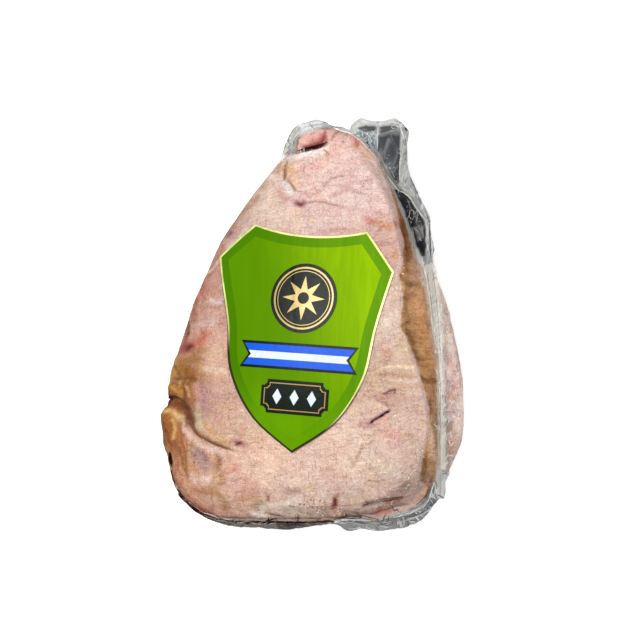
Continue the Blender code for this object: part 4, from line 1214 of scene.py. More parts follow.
# Zones of the loose film in pixels of the photo's frame: softness, colour, cover, how crinkled, corners
FILM_ZONES = {
    "flap": (1.0, (146, 148, 145), 0.94, 0.40, (351, 131), (350, 126), (355, 119), (380, 119), (394, 117),
             (404, 120),
             (411, 130), (410, 150), (411, 166), (418, 184), (428, 207), (434, 225), (437, 250),
             (437, 268), (428, 270),
             (418, 262), (410, 235), (399, 205), (389, 180), (379, 158), (369, 144.5), (359, 135.5)),
    "cells": (1.0, (122, 132, 138), 0.90, 0.80, (354, 128), (364, 132), (375, 133), (377, 151), (372, 148),
              (362, 138)),
    "fold_top": (0.8, (198, 199, 196), 0.95, 0.25, (350, 130), (354, 121), (362, 117), (394, 117),
                 (405, 121),
                 (406, 127), (399, 128), (395, 125), (380, 127), (366, 125), (358, 128), (355, 134)),
    # painted shade in the recesses under the top fold
    "recess_left_shade": (0.7, (72, 70, 70), 0.97, 0.10, (358, 128), (366, 125.6), (376, 127), (375, 132),
                    (365, 131.5)),
    "recess_right_shade": (0.7, (76, 74, 74), 0.97, 0.10, (380, 127), (392, 125), (398, 127.5), (394, 130),
                     (380, 133.5)),
    # clear film over shade, its dark tint painted shade
    "slate_high": (0.8, (56, 59, 64), 0.97, 0.02, (379, 135), (390, 133), (400, 132), (400.5, 155),
                   (399.5, 181),
                   (397, 184), (391, 175), (385, 165), (380, 156), (377, 150), (379, 141)),
    "slate_lip": (1.0, (110, 112, 112), 0.97, 0.10, (380, 133), (395, 130), (400, 131), (399, 135),
                  (389, 134),
                  (380, 137)),
    "grey_strip": (0.8, (150, 147, 138), 0.92, 0.20, (378, 155), (384, 165), (391, 176), (399, 188),
                   (397, 191),
                   (389, 180), (382, 166)),
    "white_fold": (1.0, (172, 174, 169), 0.95, 0.45, (401, 134), (408, 138), (406, 152), (408, 164),
                   (411, 178),
                   (417, 192), (411, 198), (403, 192), (400, 182), (400, 160)),
    "fold_grey": (0.9, (134, 138, 140), 0.94, 0.30, (409, 168), (414, 176), (421, 190), (427, 206),
                  (418, 199),
                  (411, 185)),
    # clear film over shade, its dark and black tints painted shade
    "slate_low": (0.8, (34, 34, 39), 0.97, 0.02, (394, 190), (401, 190), (408, 196), (412, 201), (417, 209),
                  (422, 216), (425.5, 222), (426, 240), (425, 256), (421, 257), (417, 246), (413, 234),
                  (408, 222),
                  (404, 210), (399, 200)),
    "slate_black": (1.2, (24, 26, 32), 0.98, 0.02, (402, 198), (409, 199), (414, 207), (412, 217),
                    (407, 213)),
    "slate_grey": (1.4, (124, 122, 118), 0.95, 0.40, (414, 227), (422, 224), (424, 238), (418, 241)),
    "border": (0.8, (178, 180, 180), 0.94, 0.45, (421, 203), (429, 213), (433, 225), (435, 245), (436, 268),
               (427, 268), (427, 240), (425.5, 220)),
    "seam_high": (3.4, (252, 248, 238), 0.55, 0.40, (417, 250), (420, 258), (427, 266), (436, 266),
                  (439, 280),
                  (442, 300), (444, 340), (444, 350), (438, 352), (432, 325), (428, 298), (424, 275),
                  (420, 262)),
    "seam_low": (2.0, (255, 250, 240), 0.64, 0.40, (438, 350), (443, 350), (444, 370), (445, 400),
                 (446, 430),
                 (446, 470), (439, 470), (439, 400), (438.5, 370)),
    "corner_high": (0.9, (196, 196, 192), 0.80, 0.35, (437, 468), (449, 474), (446, 486), (445, 499),
                    (440, 499),
                    (437, 488), (435, 479)),
    "corner": (1.0, (138, 140, 137), 0.94, 0.55, (433, 484), (440, 499), (437, 505), (428, 513),
               (420, 522), (410, 527),
               (385, 531), (374, 522.6), (385, 518.6), (402, 513), (415, 508.6), (424, 500.6), (430, 492)),
    "corner_dark": (1.0, (86, 90, 88), 0.92, 0.20, (433, 500), (438, 500), (434, 506), (428, 508)),
    "base_right": (1.0, (150, 152, 149), 0.92, 0.55, (334, 523), (350, 520), (366, 521), (380, 522),
                   (388, 531),
                   (362, 530), (347, 533), (340, 528)),
    "base_shoulder": (0.8, (190, 132, 108), 0.92, 0.06, (168, 474), (173, 484), (179, 493), (187.6, 501),
                      (197, 507.6),
                      (206, 513.4), (216, 517), (214, 520), (207, 517.4), (198, 511.6), (190, 505.8),
                      (185.6, 502),
                      (179.6, 493), (173, 484), (168, 476)),
    "base_flank": (0.8, (190, 154, 134), 0.97, 0.12, (205, 513), (215, 516.4), (226, 518), (240, 518.4),
                   (262, 518.8),
                   (300, 519), (340, 518), (341, 520), (300, 521.4), (262, 521), (240, 520.6), (226, 519.6),
                   (216, 518), (206, 514.8)),
    "corner_flank": (0.8, (204, 172, 157), 0.94, 0.45, (362, 514), (374.5, 514), (386, 510), (400, 506),
                     (415, 503),
                     (424, 497), (425, 499), (415, 507.6), (402, 512), (385, 517.6), (372, 520),
                     (362, 519)),
    "corner_flush": (1.6, (194, 130, 114), 0.90, 0.30, (375, 513.4), (384, 510.4), (393, 508.4), (393, 511),
                     (384, 514), (376, 516)),
    "tip_web": (1.0, (188, 184, 178), 0.86, 0.30, (336, 125), (346, 127.4), (352, 130.6), (360, 137),
                (369, 145.4),
                (372, 150), (360, 140.5), (350, 133.4), (338, 129.6)),
    # the dark lean under the film, with painted shade
    "base_dark": (0.7, (54, 34, 27), 0.97, 0.10, (178, 491), (185.6, 502), (190, 505.8), (198, 511.6),
                  (207, 517.4),
                  (214, 520), (226, 520.4), (240, 520.8), (262, 521), (300, 521.4), (334, 520.4),
                  (334, 523),
                  (300, 524), (262, 523.6), (240, 523), (222, 523), (207, 522.4), (194, 516), (184, 508),
                  (175, 496)),
    "base_grey": (0.9, (132, 122, 113), 0.95, 0.55, (204, 518.4), (214, 521), (224, 523), (242, 523.6),
                  (262, 524),
                  (300, 524.4), (330, 522.6), (320, 528), (285, 533), (240, 532), (214, 528), (202, 522)),
    "base_plum": (1.2, (82, 68, 68), 0.96, 0.30, (276, 523), (302, 523.4), (318, 523), (308, 526.6),
                  (296, 528),
                  (286, 530.6), (277, 528)),
    "tip_left": (1.2, (178, 172, 160), 0.84, 0.16, (280, 156), (282, 146), (287, 137), (293, 129),
                 (299, 124),
                 (303, 129), (298, 137), (296, 151)),
    "tip_top": (1.0, (208, 211, 210), 0.84, 0.35, (299, 124), (305, 119), (318, 117), (328, 121),
                (350, 126),
                (350, 128.5), (330, 126.6), (310, 127), (303, 129)),
}
TIP_FILM = ((196, 202, 200), 0.60, 0.3)
SEAM_FILM = ((206, 198, 188), 0.40, 0.6)
CORNER_FILM = ((176, 178, 174), 0.60, 0.5)
BASE_FILM = ((112, 100, 94), 0.80, 0.5)

# The pale lines are painted highlights, the darkest ones painted shade in the folds
# Sharp creases of the film that catch light, in pixels of the photo's frame: width, colour, route
FILM_LINES = {
    "tie": (1.1, (228, 231, 231), (378.5, 122), (377.5, 135), (377.3, 150)),
    "tie_side": (0.8, (206, 212, 214), (376, 130), (375, 140), (373.5, 148)),
    "cell_a": (0.9, (214, 220, 222), (354, 128), (362, 132), (367, 134.5), (373, 137)),
    "cell_b": (0.8, (204, 210, 212), (372, 131), (370, 141), (366, 146)),
    "cell_c": (0.9, (220, 226, 226), (365, 141), (369, 144), (373, 149)),
    "cell_d": (0.8, (206, 212, 212), (362, 140), (369, 136.5), (377, 140)),
    "cell_dark_a": (1.6, (70, 74, 80), (367, 142), (370, 145.5)),
    "cell_dark_b": (1.6, (78, 82, 88), (372, 143), (374.5, 147)),
    "cell_dark_c": (1.4, (88, 94, 100), (370, 135.5), (373.5, 139)),
    "top_rim": (1.0, (222, 223, 221), (352, 130), (353, 124), (361, 119.5), (379, 121.5), (393, 119.5),
                (402, 122)),
    "recess_lip": (0.9, (170, 172, 170), (359, 130), (366, 132.5), (374, 133)),
    "lip": (0.9, (150, 152, 152), (380, 134.5), (388, 132), (394, 130.5), (400, 130)),
    "slate_crease": (0.5, (122, 126, 128), (391, 134), (394, 142), (399, 150)),
    "slate_spot_a": (1.1, (170, 174, 176), (389.5, 167), (390.5, 169)),
    "slate_spot_b": (0.9, (176, 178, 178), (393, 174), (394.5, 178)),
    "slate_spot_c": (0.9, (150, 154, 156), (396, 180), (397, 183)),
    "knuckle": (1.3, (236, 240, 240), (401, 124), (401.5, 130), (403, 136), (404.5, 142)),
    "knuckle_side": (1.0, (214, 218, 218), (407.5, 131), (408.5, 138), (406.5, 150)),
    "knuckle_dark": (1.6, (42, 44, 48), (402.5, 124.5), (405, 127), (407, 131)),
    "knuckle_shade": (1.3, (118, 118, 114), (405.5, 138), (405, 147)),
    "fold_edge": (1.1, (216, 218, 214), (401, 142), (400.6, 155), (399.8, 170), (400, 186)),
    "fold_mid": (0.9, (208, 209, 204), (405, 148), (404.5, 162), (406, 178), (411, 192)),
    "fold_dark": (0.8, (112, 116, 118), (409, 172), (413, 184), (419, 196)),
    "strand": (1.4, (214, 212, 202), (387, 174), (391, 181), (398, 189.5), (405, 193.5), (411, 199),
               (416, 208),
               (421, 214), (425.5, 221), (427, 232), (427.5, 248), (427, 264)),
    "squiggle_a": (0.5, (210, 212, 212), (409, 217), (411, 210), (414, 212), (413, 219), (410, 225)),
    "squiggle_b": (0.5, (196, 198, 198), (415, 206), (418, 213), (416, 222), (418, 226)),
    "squiggle_c": (0.5, (180, 182, 182), (406, 221), (409, 215), (410, 206)),
    "squiggle_d": (0.5, (176, 176, 172), (411, 227), (415, 229), (419, 233), (421, 240)),
    "low_dark": (1.2, (52, 52, 56), (423, 240), (424.5, 247), (424.6, 254)),
    "low_black": (1.8, (24, 24, 30), (411.5, 219), (413, 224)),
    "border_a": (0.9, (206, 209, 208), (411, 170), (416, 182), (423, 199), (429, 213), (431, 224)),
    "border_b": (0.9, (232, 234, 232), (430.8, 226), (432, 244), (433, 262)),
    "border_c": (1.0, (226, 228, 226), (427.8, 224), (428.4, 244), (428.6, 262)),
    "border_dark": (1.4, (66, 68, 72), (429.4, 224), (430, 240), (430.6, 258)),
    "border_shade": (1.0, (120, 126, 132), (424, 208), (428, 217), (429.5, 224)),
    "seam_a": (0.8, (222, 214, 196), (424, 266), (427.5, 282), (430.5, 305), (432.5, 328), (435.5, 348)),
    "seam_b": (0.8, (206, 203, 188), (430, 266), (433, 290), (435, 315), (437, 340), (439, 360)),
    "seam_c": (0.8, (164, 163, 150), (432, 268), (436, 296), (438, 320), (440, 345), (441, 362)),
    "seam_d": (0.8, (158, 158, 148), (427, 272), (431, 300), (433.5, 325)),
    "seam_e": (0.9, (236, 230, 218), (439, 356), (441, 380), (442, 404), (442, 424)),
    "seam_f": (0.8, (228, 222, 210), (443.5, 384), (444.2, 400), (444.4, 414)),
    "seam_g": (0.8, (188, 168, 144), (439.6, 372), (440.4, 400), (440, 440), (440.4, 466)),
    "seam_h": (0.9, (232, 226, 214), (442.5, 428), (443, 448), (442, 466)),
    "seam_edge": (0.9, (214, 196, 172), (437.6, 384), (438.2, 410), (438.2, 440), (438.4, 468)),
    "hole_a": (1.2, (244, 240, 234), (444, 410.5), (450, 410)),
    "hole_b": (1.0, (234, 226, 218), (446, 436), (449, 434), (453, 432.5)),
    "hole_c": (1.0, (242, 236, 228), (446, 456.5), (450, 455.5), (455, 456)),
    "hole_d": (1.0, (236, 230, 222), (443, 462), (448, 463.5), (446, 459)),
    "bulge_edge_line": (0.8, (184, 172, 166), (457, 345), (460, 372), (460.5, 392)),
    "fan_a": (1.2, (240, 243, 242), (434, 482), (432, 490), (429, 498)),
    "fan_b": (1.0, (236, 240, 239), (434, 482), (436, 490), (437.5, 498)),
    "fan_c": (0.9, (220, 224, 223), (435.5, 486), (434.5, 497)),
    "fan_dark": (1.1, (112, 116, 114), (431.5, 494), (434, 487)),
    "flap_edge_a": (1.0, (164, 166, 162), (448, 474), (445.5, 482), (444.6, 497)),
    "flap_edge_b": (0.9, (170, 172, 168), (440.6, 474), (440.3, 486), (440.4, 499)),
    "flap_knot": (1.2, (120, 124, 122), (442, 474.5), (446, 473.5), (448, 475.5)),
    "sweep_a": (1.4, (238, 240, 238), (431, 496), (425, 505), (415, 511), (405, 514.6), (393, 517.4)),
    "sweep_b": (1.2, (224, 226, 223), (438, 501), (429, 510), (420, 515), (410, 519), (397, 522)),
    "sweep_c": (1.0, (206, 208, 204), (433, 491), (428, 500), (420, 507), (410, 512)),
    "sweep_dark": (1.1, (118, 122, 120), (431, 506), (422, 513), (410, 517)),
    "outer_edge": (0.9, (150, 152, 148), (437, 504), (428, 512.5), (420, 520.5), (408, 526), (394, 529)),
    "base_a": (1.1, (226, 228, 225), (392, 521.5), (378, 523), (364, 522)),
    "base_b": (1.2, (238, 240, 238), (365, 526), (370, 529), (377, 531)),
    "base_c": (0.9, (216, 218, 214), (345, 521), (358, 524), (374, 525)),
    "base_d": (0.9, (150, 150, 146), (334, 523), (341, 527), (348, 531)),
    "base_e": (1.0, (232, 234, 231), (349, 529), (360, 528), (370, 530)),
    "base_pale": (0.9, (186, 172, 160), (338, 519.5), (352, 517.6), (366, 519), (380, 521)),
    "base_left_pale": (0.8, (170, 156, 146), (206, 517), (222, 521), (244, 524.5), (268, 524)),
    "base_left_edge": (0.9, (96, 84, 78), (206, 518.5), (216, 523), (236, 527), (262, 528), (282, 530),
                       (300, 527)),
    "tip_outline": (1.0, (142, 152, 150), (283.5, 152), (285, 146), (288.5, 138), (293.5, 130),
                    (299, 124.4)),
    "tip_line_a": (0.8, (170, 180, 176), (288, 151), (290.5, 143), (295, 134), (301, 127)),
    "tip_line_b": (0.8, (226, 230, 229), (291, 150), (294, 140), (299, 131), (306, 126)),
    "tip_line_c": (0.8, (184, 188, 186), (301, 124), (309, 122), (318, 120.6), (325, 122.4)),
    "tip_line_d": (0.8, (190, 193, 190), (305, 127.4), (316, 124.4), (328, 125.6), (340, 128.4)),
    "tip_knot": (1.0, (112, 112, 108), (323, 122), (328, 124)),
    "tip_line_e": (0.8, (168, 170, 168), (326, 125), (338, 127), (350, 129)),
    "rim_gleam": (0.9, (252, 232, 214), (340, 130.5), (352, 135), (361, 141.5), (370, 150.5), (378, 160)),
    "tooth_a": (0.9, (250, 248, 246), (304, 148), (304.3, 152)),
    "tooth_b": (0.7, (246, 240, 238), (312, 149), (312.4, 152)),
    "tooth_c": (0.8, (240, 232, 230), (300.5, 150), (300.5, 154)),
    "pocket_gleam": (0.8, (250, 246, 244), (283, 187), (284.6, 182), (286, 179.6)),
}
# Sharp dark creases, laid out as the film's lines are: dark lean and juice, with painted shade where the creases
# are deep
JUICE_AND_SHADE_LINES = {
    # painted shade in the crevice under the tip's roll
    "crevice_shade": (2.7, (44, 14, 8), (298.6, 150.6), (304, 149), (311, 147.6), (318, 146), (324, 143.8),
                (327, 142)),
    "pocket": (0.8, (140, 98, 64), (286, 165), (284.4, 171), (284, 179.6)),
    "slit": (1.0, (46, 8, 26), (369.5, 423.6), (372, 421.4), (377, 418), (382, 415.2), (386, 412.4),
             (389, 411)),
    "slit_bead_a": (1.5, (42, 6, 20), (370.6, 422.6), (373, 420.8)),
    "slit_bead_b": (1.9, (38, 6, 18), (380, 416.6), (383.6, 414.4)),
    "slit_bead_c": (2.0, (36, 6, 16), (385.8, 412.4), (388.8, 411.2)),
    "crease": (0.9, (124, 80, 50), (190, 423), (192, 428), (194.6, 431.8), (198, 435.2), (206, 440),
               (215, 444.4),
               (225, 447.6), (231, 449.6)),
    "ear_foot": (1.0, (84, 40, 18), (168.6, 397.6), (173, 396.2), (178, 397)),
    "corner": (1.0, (92, 60, 52), (378, 503), (385, 501), (395, 499.6), (401.6, 498.4)),
    "corner_squiggle": (1.0, (72, 56, 66), (392, 506.6), (394.4, 510.6), (397, 509.4), (399, 512)),
    "corner_side": (1.0, (108, 70, 44), (427, 494.4), (421, 500.6), (415.4, 505)),
    "base": (1.7, (38, 20, 18), (216, 518.8), (228, 520.6), (250, 521.4), (275, 521.8), (300, 522.2),
             (318, 522),
             (332, 521)),
    "base_red": (2.2, (84, 32, 24), (314, 521.8), (322, 521.8), (329, 521.4)),
    "base_a": (0.9, (92, 72, 62), (331, 521), (340, 518), (350, 516.4), (359, 517)),
    "base_b": (1.0, (92, 72, 64), (345, 513.2), (355, 513.8), (366, 516.4), (376, 518.8), (382, 520.2)),
    "base_c": (1.0, (92, 76, 68), (334, 521), (350, 521.4), (364, 522.2), (374, 522.6)),
    "base_d": (0.9, (86, 72, 64), (353, 517.6), (365, 519.2), (378, 520.6)),
    "base_crease": (0.9, (84, 54, 46), (267, 513.5), (276, 515), (284, 516)),
    "lean_high": (3.2, (34, 14, 10), (169.6, 452), (170.6, 460), (171.6, 467)),
    "lean": (2.1, (44, 20, 14), (171.4, 470), (172.6, 478), (175.4, 486), (180.4, 494.4), (187, 502),
             (195, 508.8),
             (205, 514.6), (216, 518.4), (230, 520.6)),
    "wedge": (2.0, (44, 12, 8), (170, 396.6), (167, 399.6), (164.4, 404), (163, 408)),
    "edge_high": (1.4, (104, 40, 22), (169.4, 372), (167.8, 382), (166.4, 393)),
    "mauve_line": (0.7, (176, 140, 140), (323, 149.6), (326, 151.4), (329, 154)),
}


# Short random glints and dark nicks where the film is crumpled, area by area in pixels of the frame: how many,
# width, length, direction in degrees and its spread, colours, corners of the area
CRACKLE = {
    "bulge": (130, 0.6, 4.4, 80, 30, ((246, 240, 236), (236, 226, 220), (172, 142, 130), (246, 242, 238)),
              (440, 292), (449, 300), (456, 328), (460, 356), (461, 392), (459, 420), (455, 450),
              (450, 470), (446, 470),
              (446, 400), (444, 340)),
    "seam": (90, 0.8, 9.0, 82, 10, ((236, 234, 226), (222, 220, 210), (160, 158, 146), (240, 238, 232)),
             (420, 256), (434, 262), (441, 300), (443, 340), (446, 400), (446, 470), (439, 470), (438, 380),
             (432, 330), (426, 285)),
    "slate_low": (34, 0.5, 5.0, 110, 35, ((176, 178, 178), (130, 132, 132), (30, 30, 34), (100, 102, 104)),
                  (396, 192), (402, 192), (410, 200), (418, 212), (425, 222), (425, 254), (421, 254),
                  (412, 230),
                  (404, 208)),
    "slate_high": (12, 0.6, 2.0, 60, 50, ((168, 172, 174), (126, 130, 132)),
                   (384, 150), (392, 160), (399, 176), (397, 182), (389, 171)),
    "flap": (40, 0.8, 7.0, 70, 30, ((214, 216, 214), (196, 198, 196), (104, 106, 106), (226, 228, 226)),
             (402, 134), (408, 138), (406, 160), (414, 184), (427, 208), (432, 226), (434, 264),
             (429, 264), (427, 224),
             (415, 200), (402, 190), (401, 160)),
    "cells": (22, 0.8, 5.0, 120, 60, ((216, 222, 224), (84, 90, 96)),
              (354, 129), (364, 132), (375, 134), (376, 149), (370, 147), (360, 138)),
    "top": (22, 0.8, 7.0, 5, 14, ((228, 229, 227), (150, 151, 148)),
            (353, 126), (358, 120), (380, 122), (394, 120), (403, 123), (400, 128), (380, 125), (360, 124)),
    "corner": (46, 0.9, 9.0, -38, 16, ((236, 238, 236), (210, 212, 208), (104, 107, 104), (222, 224, 221)),
               (436, 486), (439, 498), (428, 511), (418, 520), (400, 526), (392, 519), (412, 512),
               (428, 497)),
    "base_right": (26, 0.9, 8.0, -6, 20, ((232, 234, 232), (200, 201, 197), (110, 110, 106)),
                   (338, 523), (352, 520), (380, 522), (396, 521), (388, 529), (362, 528), (348, 530)),
    "base_left": (34, 0.9, 12.0, 3, 8, ((120, 110, 102), (46, 34, 30), (150, 138, 128)),
                  (206, 517), (240, 521), (330, 521), (312, 526), (285, 529), (240, 528), (214, 524)),
    "gloss": (60, 0.55, 2.4, 30, 60, ((248, 243, 238), (246, 240, 234), (166, 146, 134)),
              (412, 448), (424, 440), (424, 456), (419, 478), (414, 492), (396, 505), (372, 512),
              (380, 496), (400, 478)),
    "gloss_low": (50, 0.8, 2.2, 0, 60, ((236, 226, 216), (128, 106, 94), (150, 126, 112)),
                  (288, 506), (300, 500), (322, 500), (344, 508), (352, 516), (330, 517), (300, 515)),
    "tip_film": (16, 0.8, 7.0, 115, 20, ((196, 206, 203), (118, 130, 128)),
                 (284, 150), (288, 138), (298, 127), (301, 130), (296, 140), (294, 150)),
    "tip_top": (16, 0.8, 9.0, -4, 12, ((236, 238, 237), (166, 169, 167)),
                (302, 125), (310, 121.5), (322, 121.5), (346, 128), (330, 127), (308, 127)),
    "ridge": (26, 0.6, 3.6, 10, 35, ((248, 238, 228), (228, 204, 188)),
              (399, 244), (404, 262), (400, 300), (402, 330), (414, 362), (424, 396), (420, 396),
              (410, 362), (396, 330),
              (394, 280)),
}


def bearings(points):
    return np.arctan2(points[..., 1] - CENTRE[1], points[..., 0] - CENTRE[0])


def section_at(bearing):
    """The section of the cut at given bearings from its middle."""
    section = section_rows(FINE_COLUMNS)
    given = bearings(section["outline"])
    found = {key: np.interp(bearing, given, values, period=math.tau) for key, values in section.items()
             if key != "outline"}
    x, y = (np.interp(bearing, given, section["outline"][:, k], period=math.tau) for k in (0, 1))
    found["outline"] = np.stack([x, y], axis=1)
    return found


def margin_grid(columns, wall_rows, fin_rows):
    """Rows of the loose film, clockwise: down the cut's wall from its rim, then out to the film's edge."""
    edge = even(spline(on_level(FILM_EDGE), False), columns + 1, False)
    section = section_at(bearings(edge))
    q_root = root_steps(edge[:, 2], section, UPPER_SIDE_STEPS)
    wall = np.array([ring_at(section, *side_point(q_root * (0.04 + 0.96 * row / wall_rows), section))
                     for row in range(wall_rows + 1)])
    out = -normals_of(wall, False)
    relief = np.maximum(fat_relief(wall, out), 0.0)
    tent = smooth_step(0.0, 0.25, np.linspace(0, 1, wall_rows + 1))[:, None]
    at = np.linspace(0, 1, columns + 1)
    ends = smooth_step(0.0, 0.04, at) * smooth_step(1.0, 0.95, at)
    wall = wall + out * (relief + (FILM_LIFT + 0.0005 * tent) * (0.3 + 0.7 * ends))[..., None]
    length = np.linalg.norm(np.diff(edge[:, :2], axis=0), axis=1).sum()
    along = length * np.arange(columns + 1) / columns
    fin = []
    for row in range(1, fin_rows + 1):
        part = row / fin_rows
        place = wall[-1] + (edge - wall[-1]) * part
        place[:, 2] += FILM_WAVE_HEIGHT * part * np.sin(math.tau * along / FILM_WAVE_LENGTH)
        fin.append(place)
    return np.concatenate([wall, np.array(fin)])


def make_margin():
    """The loose film beyond the cut, one sheet with its crumples, folds and tints, painted shade among them."""
    columns, wall_rows, fin_rows = MARGIN_GRID
    points = margin_grid(columns, wall_rows, fin_rows)
    x, y = points[..., 0].copy(), points[..., 1].copy()
    flat = np.stack([x, y, np.zeros_like(x)], axis=-1)
    row = np.arange(wall_rows + fin_rows + 1)[:, None]
    loose = smooth_step(wall_rows * 0.6, wall_rows + fin_rows * 0.3, row)
    # ragged outer edge
    ragged = 0.0006 * noise(flat, 0.006, 44) + 0.0004 * noise(flat, 0.0025, 45)
    outward = np.stack([x - CENTRE[0], y - CENTRE[1]], axis=-1)
    outward /= np.linalg.norm(outward, axis=-1, keepdims=True)
    last = smooth_step(wall_rows + fin_rows * 0.6, wall_rows + fin_rows, row)
    points[..., :2] += outward * (ragged * last)[..., None]
    px, py = wandering(*seen(points), flat, (0.8, 0.004, 46, 47))
    for half_width, height, *route in FILM_FOLDS.values():
        points[..., 2] += 0.001 * height * route_field(px, py, with_parts(route), half_width)
    points[..., 2] = np.maximum(points[..., 2], FILM_LEAST_HEIGHT)
    # which stretch of the margin each point is in, by its place along the edge
    at = np.arange(columns + 1) / columns
    tip = 1 - smooth_step(0.17, 0.20, at)
    base = smooth_step(0.66, 0.72, at)
    corner = smooth_step(0.52, 0.58, at) * (1 - base)
    seam = 1 - np.clip(tip + base + corner, 0, 1)
    stretches = ((tip, TIP_FILM), (seam, SEAM_FILM), (corner, CORNER_FILM), (base, BASE_FILM))
    tint = sum(share[:, None] * paint(film[0]) for share, film in stretches) * np.ones((len(row), 1, 1))
    cover = sum(share * film[1] for share, film in stretches) * loose
    crinkle = sum(share * film[2] for share, film in stretches) * (0.12 + 0.88 * loose)
    for soft, colour, zone_cover, zone_crinkle, *corners in FILM_ZONES.values():
        amount = area_field(px, py, corners, soft)
        tint = mixed(tint, paint(colour), amount)
        cover = cover + (zone_cover - cover) * amount
        crinkle = crinkle + (zone_crinkle - crinkle) * amount
    # crumples that grow outward
    crumple = 0.0010 * ridged(flat, 0.010, 41) ** 2 + 0.0006 * ridged(flat, 0.0045, 42) ** 2
    crumple = crumple + 0.0003 * noise(flat, 0.003, 43)
    points[..., 2] += (crumple - 0.0005) * loose * np.clip(1.8 * crinkle, 0.06, 1)
    points[..., 2] = np.maximum(points[..., 2], FILM_LEAST_HEIGHT)
    count = columns + 1
    faces = [(r * count + c, (r + 1) * count + c, (r + 1) * count + c + 1, r * count + c + 1)
             for r in range(len(row) - 1) for c in range(columns)]
    margin = to_mesh("film_margin", points.reshape(-1, 3), faces, margin_material())
    set_colours(margin, "tint", tint.reshape(-1, 3))
    set_values(margin, "cover", cover.ravel())
    set_values(margin, "crinkle", crinkle.ravel())
    return margin


def surface_trees(pieces):
    """Search trees over the faces of finished pieces."""
    trees = []
    for piece in pieces:
        mesh = piece.data
        places = [v.co.copy() for v in mesh.vertices]
        trees.append(BVHTree.FromPolygons(places, [tuple(p.vertices) for p in mesh.polygons]))
    return trees


def find_surface(trees, px, py):
    """The nearest point of the pieces on the line of sight through a pixel, or None off them."""
    place, right, up, back = view_axes()
    place = place - TO_BOX_MIDDLE
    scale = SENSOR / LENS / PHOTO_SIDE
    way = right * (px - PHOTO_SIDE / 2) * scale - up * (py - PHOTO_SIDE / 2) * scale - back
    hits = [tree.ray_cast(Vector(place), Vector(way).normalized()) for tree in trees]
    found = [hit for hit in hits if hit[0] is not None]
    return np.array(min(found, key=lambda hit: hit[3])[0]) if found else None


def make_lines(name, table, trees, looks, rise):
    """Narrow raised creases that lie on the pieces, one mesh for a table of named routes."""
    back = view_axes()[3]
    points, faces, colours = [], [], []
    for number, (width, colour, *route) in enumerate(table.values()):
        rough = spline(route, False)
        length = np.linalg.norm(np.diff(rough, axis=0), axis=1).sum()
        count = max(int(length / 0.9) + 2, 4)
        line = even(rough, count, False)
        along = np.gradient(line, axis=0)
        across = np.stack([-along[:, 1], along[:, 0]], axis=1)
        across /= np.maximum(np.linalg.norm(across, axis=1, keepdims=True), 1e-9)
        step = np.arange(count)
        jitter = noise(np.stack([step * 1.0, 0.0 * step + 7.0 * number, 0.0 * step], axis=1), 3.0, 61)
        line = line + across * (0.35 * jitter)[:, None]
        taper = np.sqrt(np.clip(np.sin(np.pi * (step + 0.5) / count), 0.15, 1))
        half = 0.5 * width * taper * (1 + 0.25 * np.roll(jitter, 2))
        before = None
        for spot, side, reach in zip(line, across, half):
            places = [find_surface(trees, *(spot + side * reach * part)) for part in (-1, 0, 1)]
            if any(found is None for found in places):
                before = None
                continue
            first = len(points)
            lifts = (LINE_EDGE_RISE, rise, LINE_EDGE_RISE)
            points += [found + back * lift for found, lift in zip(places, lifts)]
            colours += [paint(colour)] * 3
            if before is not None and np.linalg.norm(points[first + 1] - points[before + 1]) < 0.004:
                faces += [(before + i, before + i + 1, first + i + 1, first + i) for i in (0, 1)]
            before = first
    made = to_mesh(name, points, faces, looks, np.zeros(3))
    set_colours(made, "tint", np.array(colours))
    return made


def crackle_lines():
    """Routes of the random glints and nicks, each a short wandering line in its area."""
    draw = np.random.default_rng(CRACKLE_SEED)
    lines = {}
    for name, (count, width, length, turn, spread, colours, *corners) in CRACKLE.items():
        low, high = np.min(corners, axis=0), np.max(corners, axis=0)
        spots = draw.uniform(low, high, (count * 12, 2))
        spots = spots[area_field(spots[:, 0], spots[:, 1], corners, 0.5) > 0.5][:count]
        for number, spot in enumerate(spots):
            heading = -math.radians(turn + draw.normal(0, spread))
            reach = length * draw.uniform(0.4, 1.3) / 3
            route = [spot]
            for _ in range(3):
                heading += draw.normal(0, 0.35)
                route.append(route[-1] + reach * np.array([math.cos(heading), math.sin(heading)]))
            colour = colours[draw.integers(len(colours))]
            lines[f"{name}_{number}"] = (width * draw.uniform(0.8, 1.7), colour, *route)
    return lines


def shield_side(hand):
    """One side of the shield from its peak down to its point."""
    curve = spline((SHIELD_CORNERS[hand], SHIELD_NECKS[hand], SHIELD_HIPS[hand], SHIELD_CHEEKS[hand],
                    SHIELD_POINT), False)
    return [SHIELD_PEAKS[hand]] + [tuple(p) for p in curve[::2]]


def shield_outline():
    """The label's edge in its own plane, clockwise from the left peak. Its top sags between the peaks."""
    (rx, ry), (lx, ly) = SHIELD_PEAKS
    top = []
    for step in range(1, 12):
        t = step / 12
        sag = 1 - (2 * t - 1) ** 2
        top.append((lx + (rx - lx) * t, ly + (ry - ly) * t - sag * ((ly + ry) / 2 - SHIELD_DIP[1])))
    return [(lx, ly)] + top + shield_side(0) + shield_side(1)[-2:0:-1]


def inset(outline, distance):
    """The outline moved inward, corner by corner. The outline runs clockwise."""
    p = np.array(outline)
    before, after = p - np.roll(p, 1, axis=0), np.roll(p, -1, axis=0) - p
    before /= np.linalg.norm(before, axis=1, keepdims=True)
    after /= np.linalg.norm(after, axis=1, keepdims=True)
    inward = np.stack([before[:, 1] + after[:, 1], -before[:, 0] - after[:, 0]], axis=1)
    inward /= np.maximum((inward ** 2).sum(axis=1, keepdims=True) / 2, 0.35)
    return [tuple(q) for q in p + inward * distance]


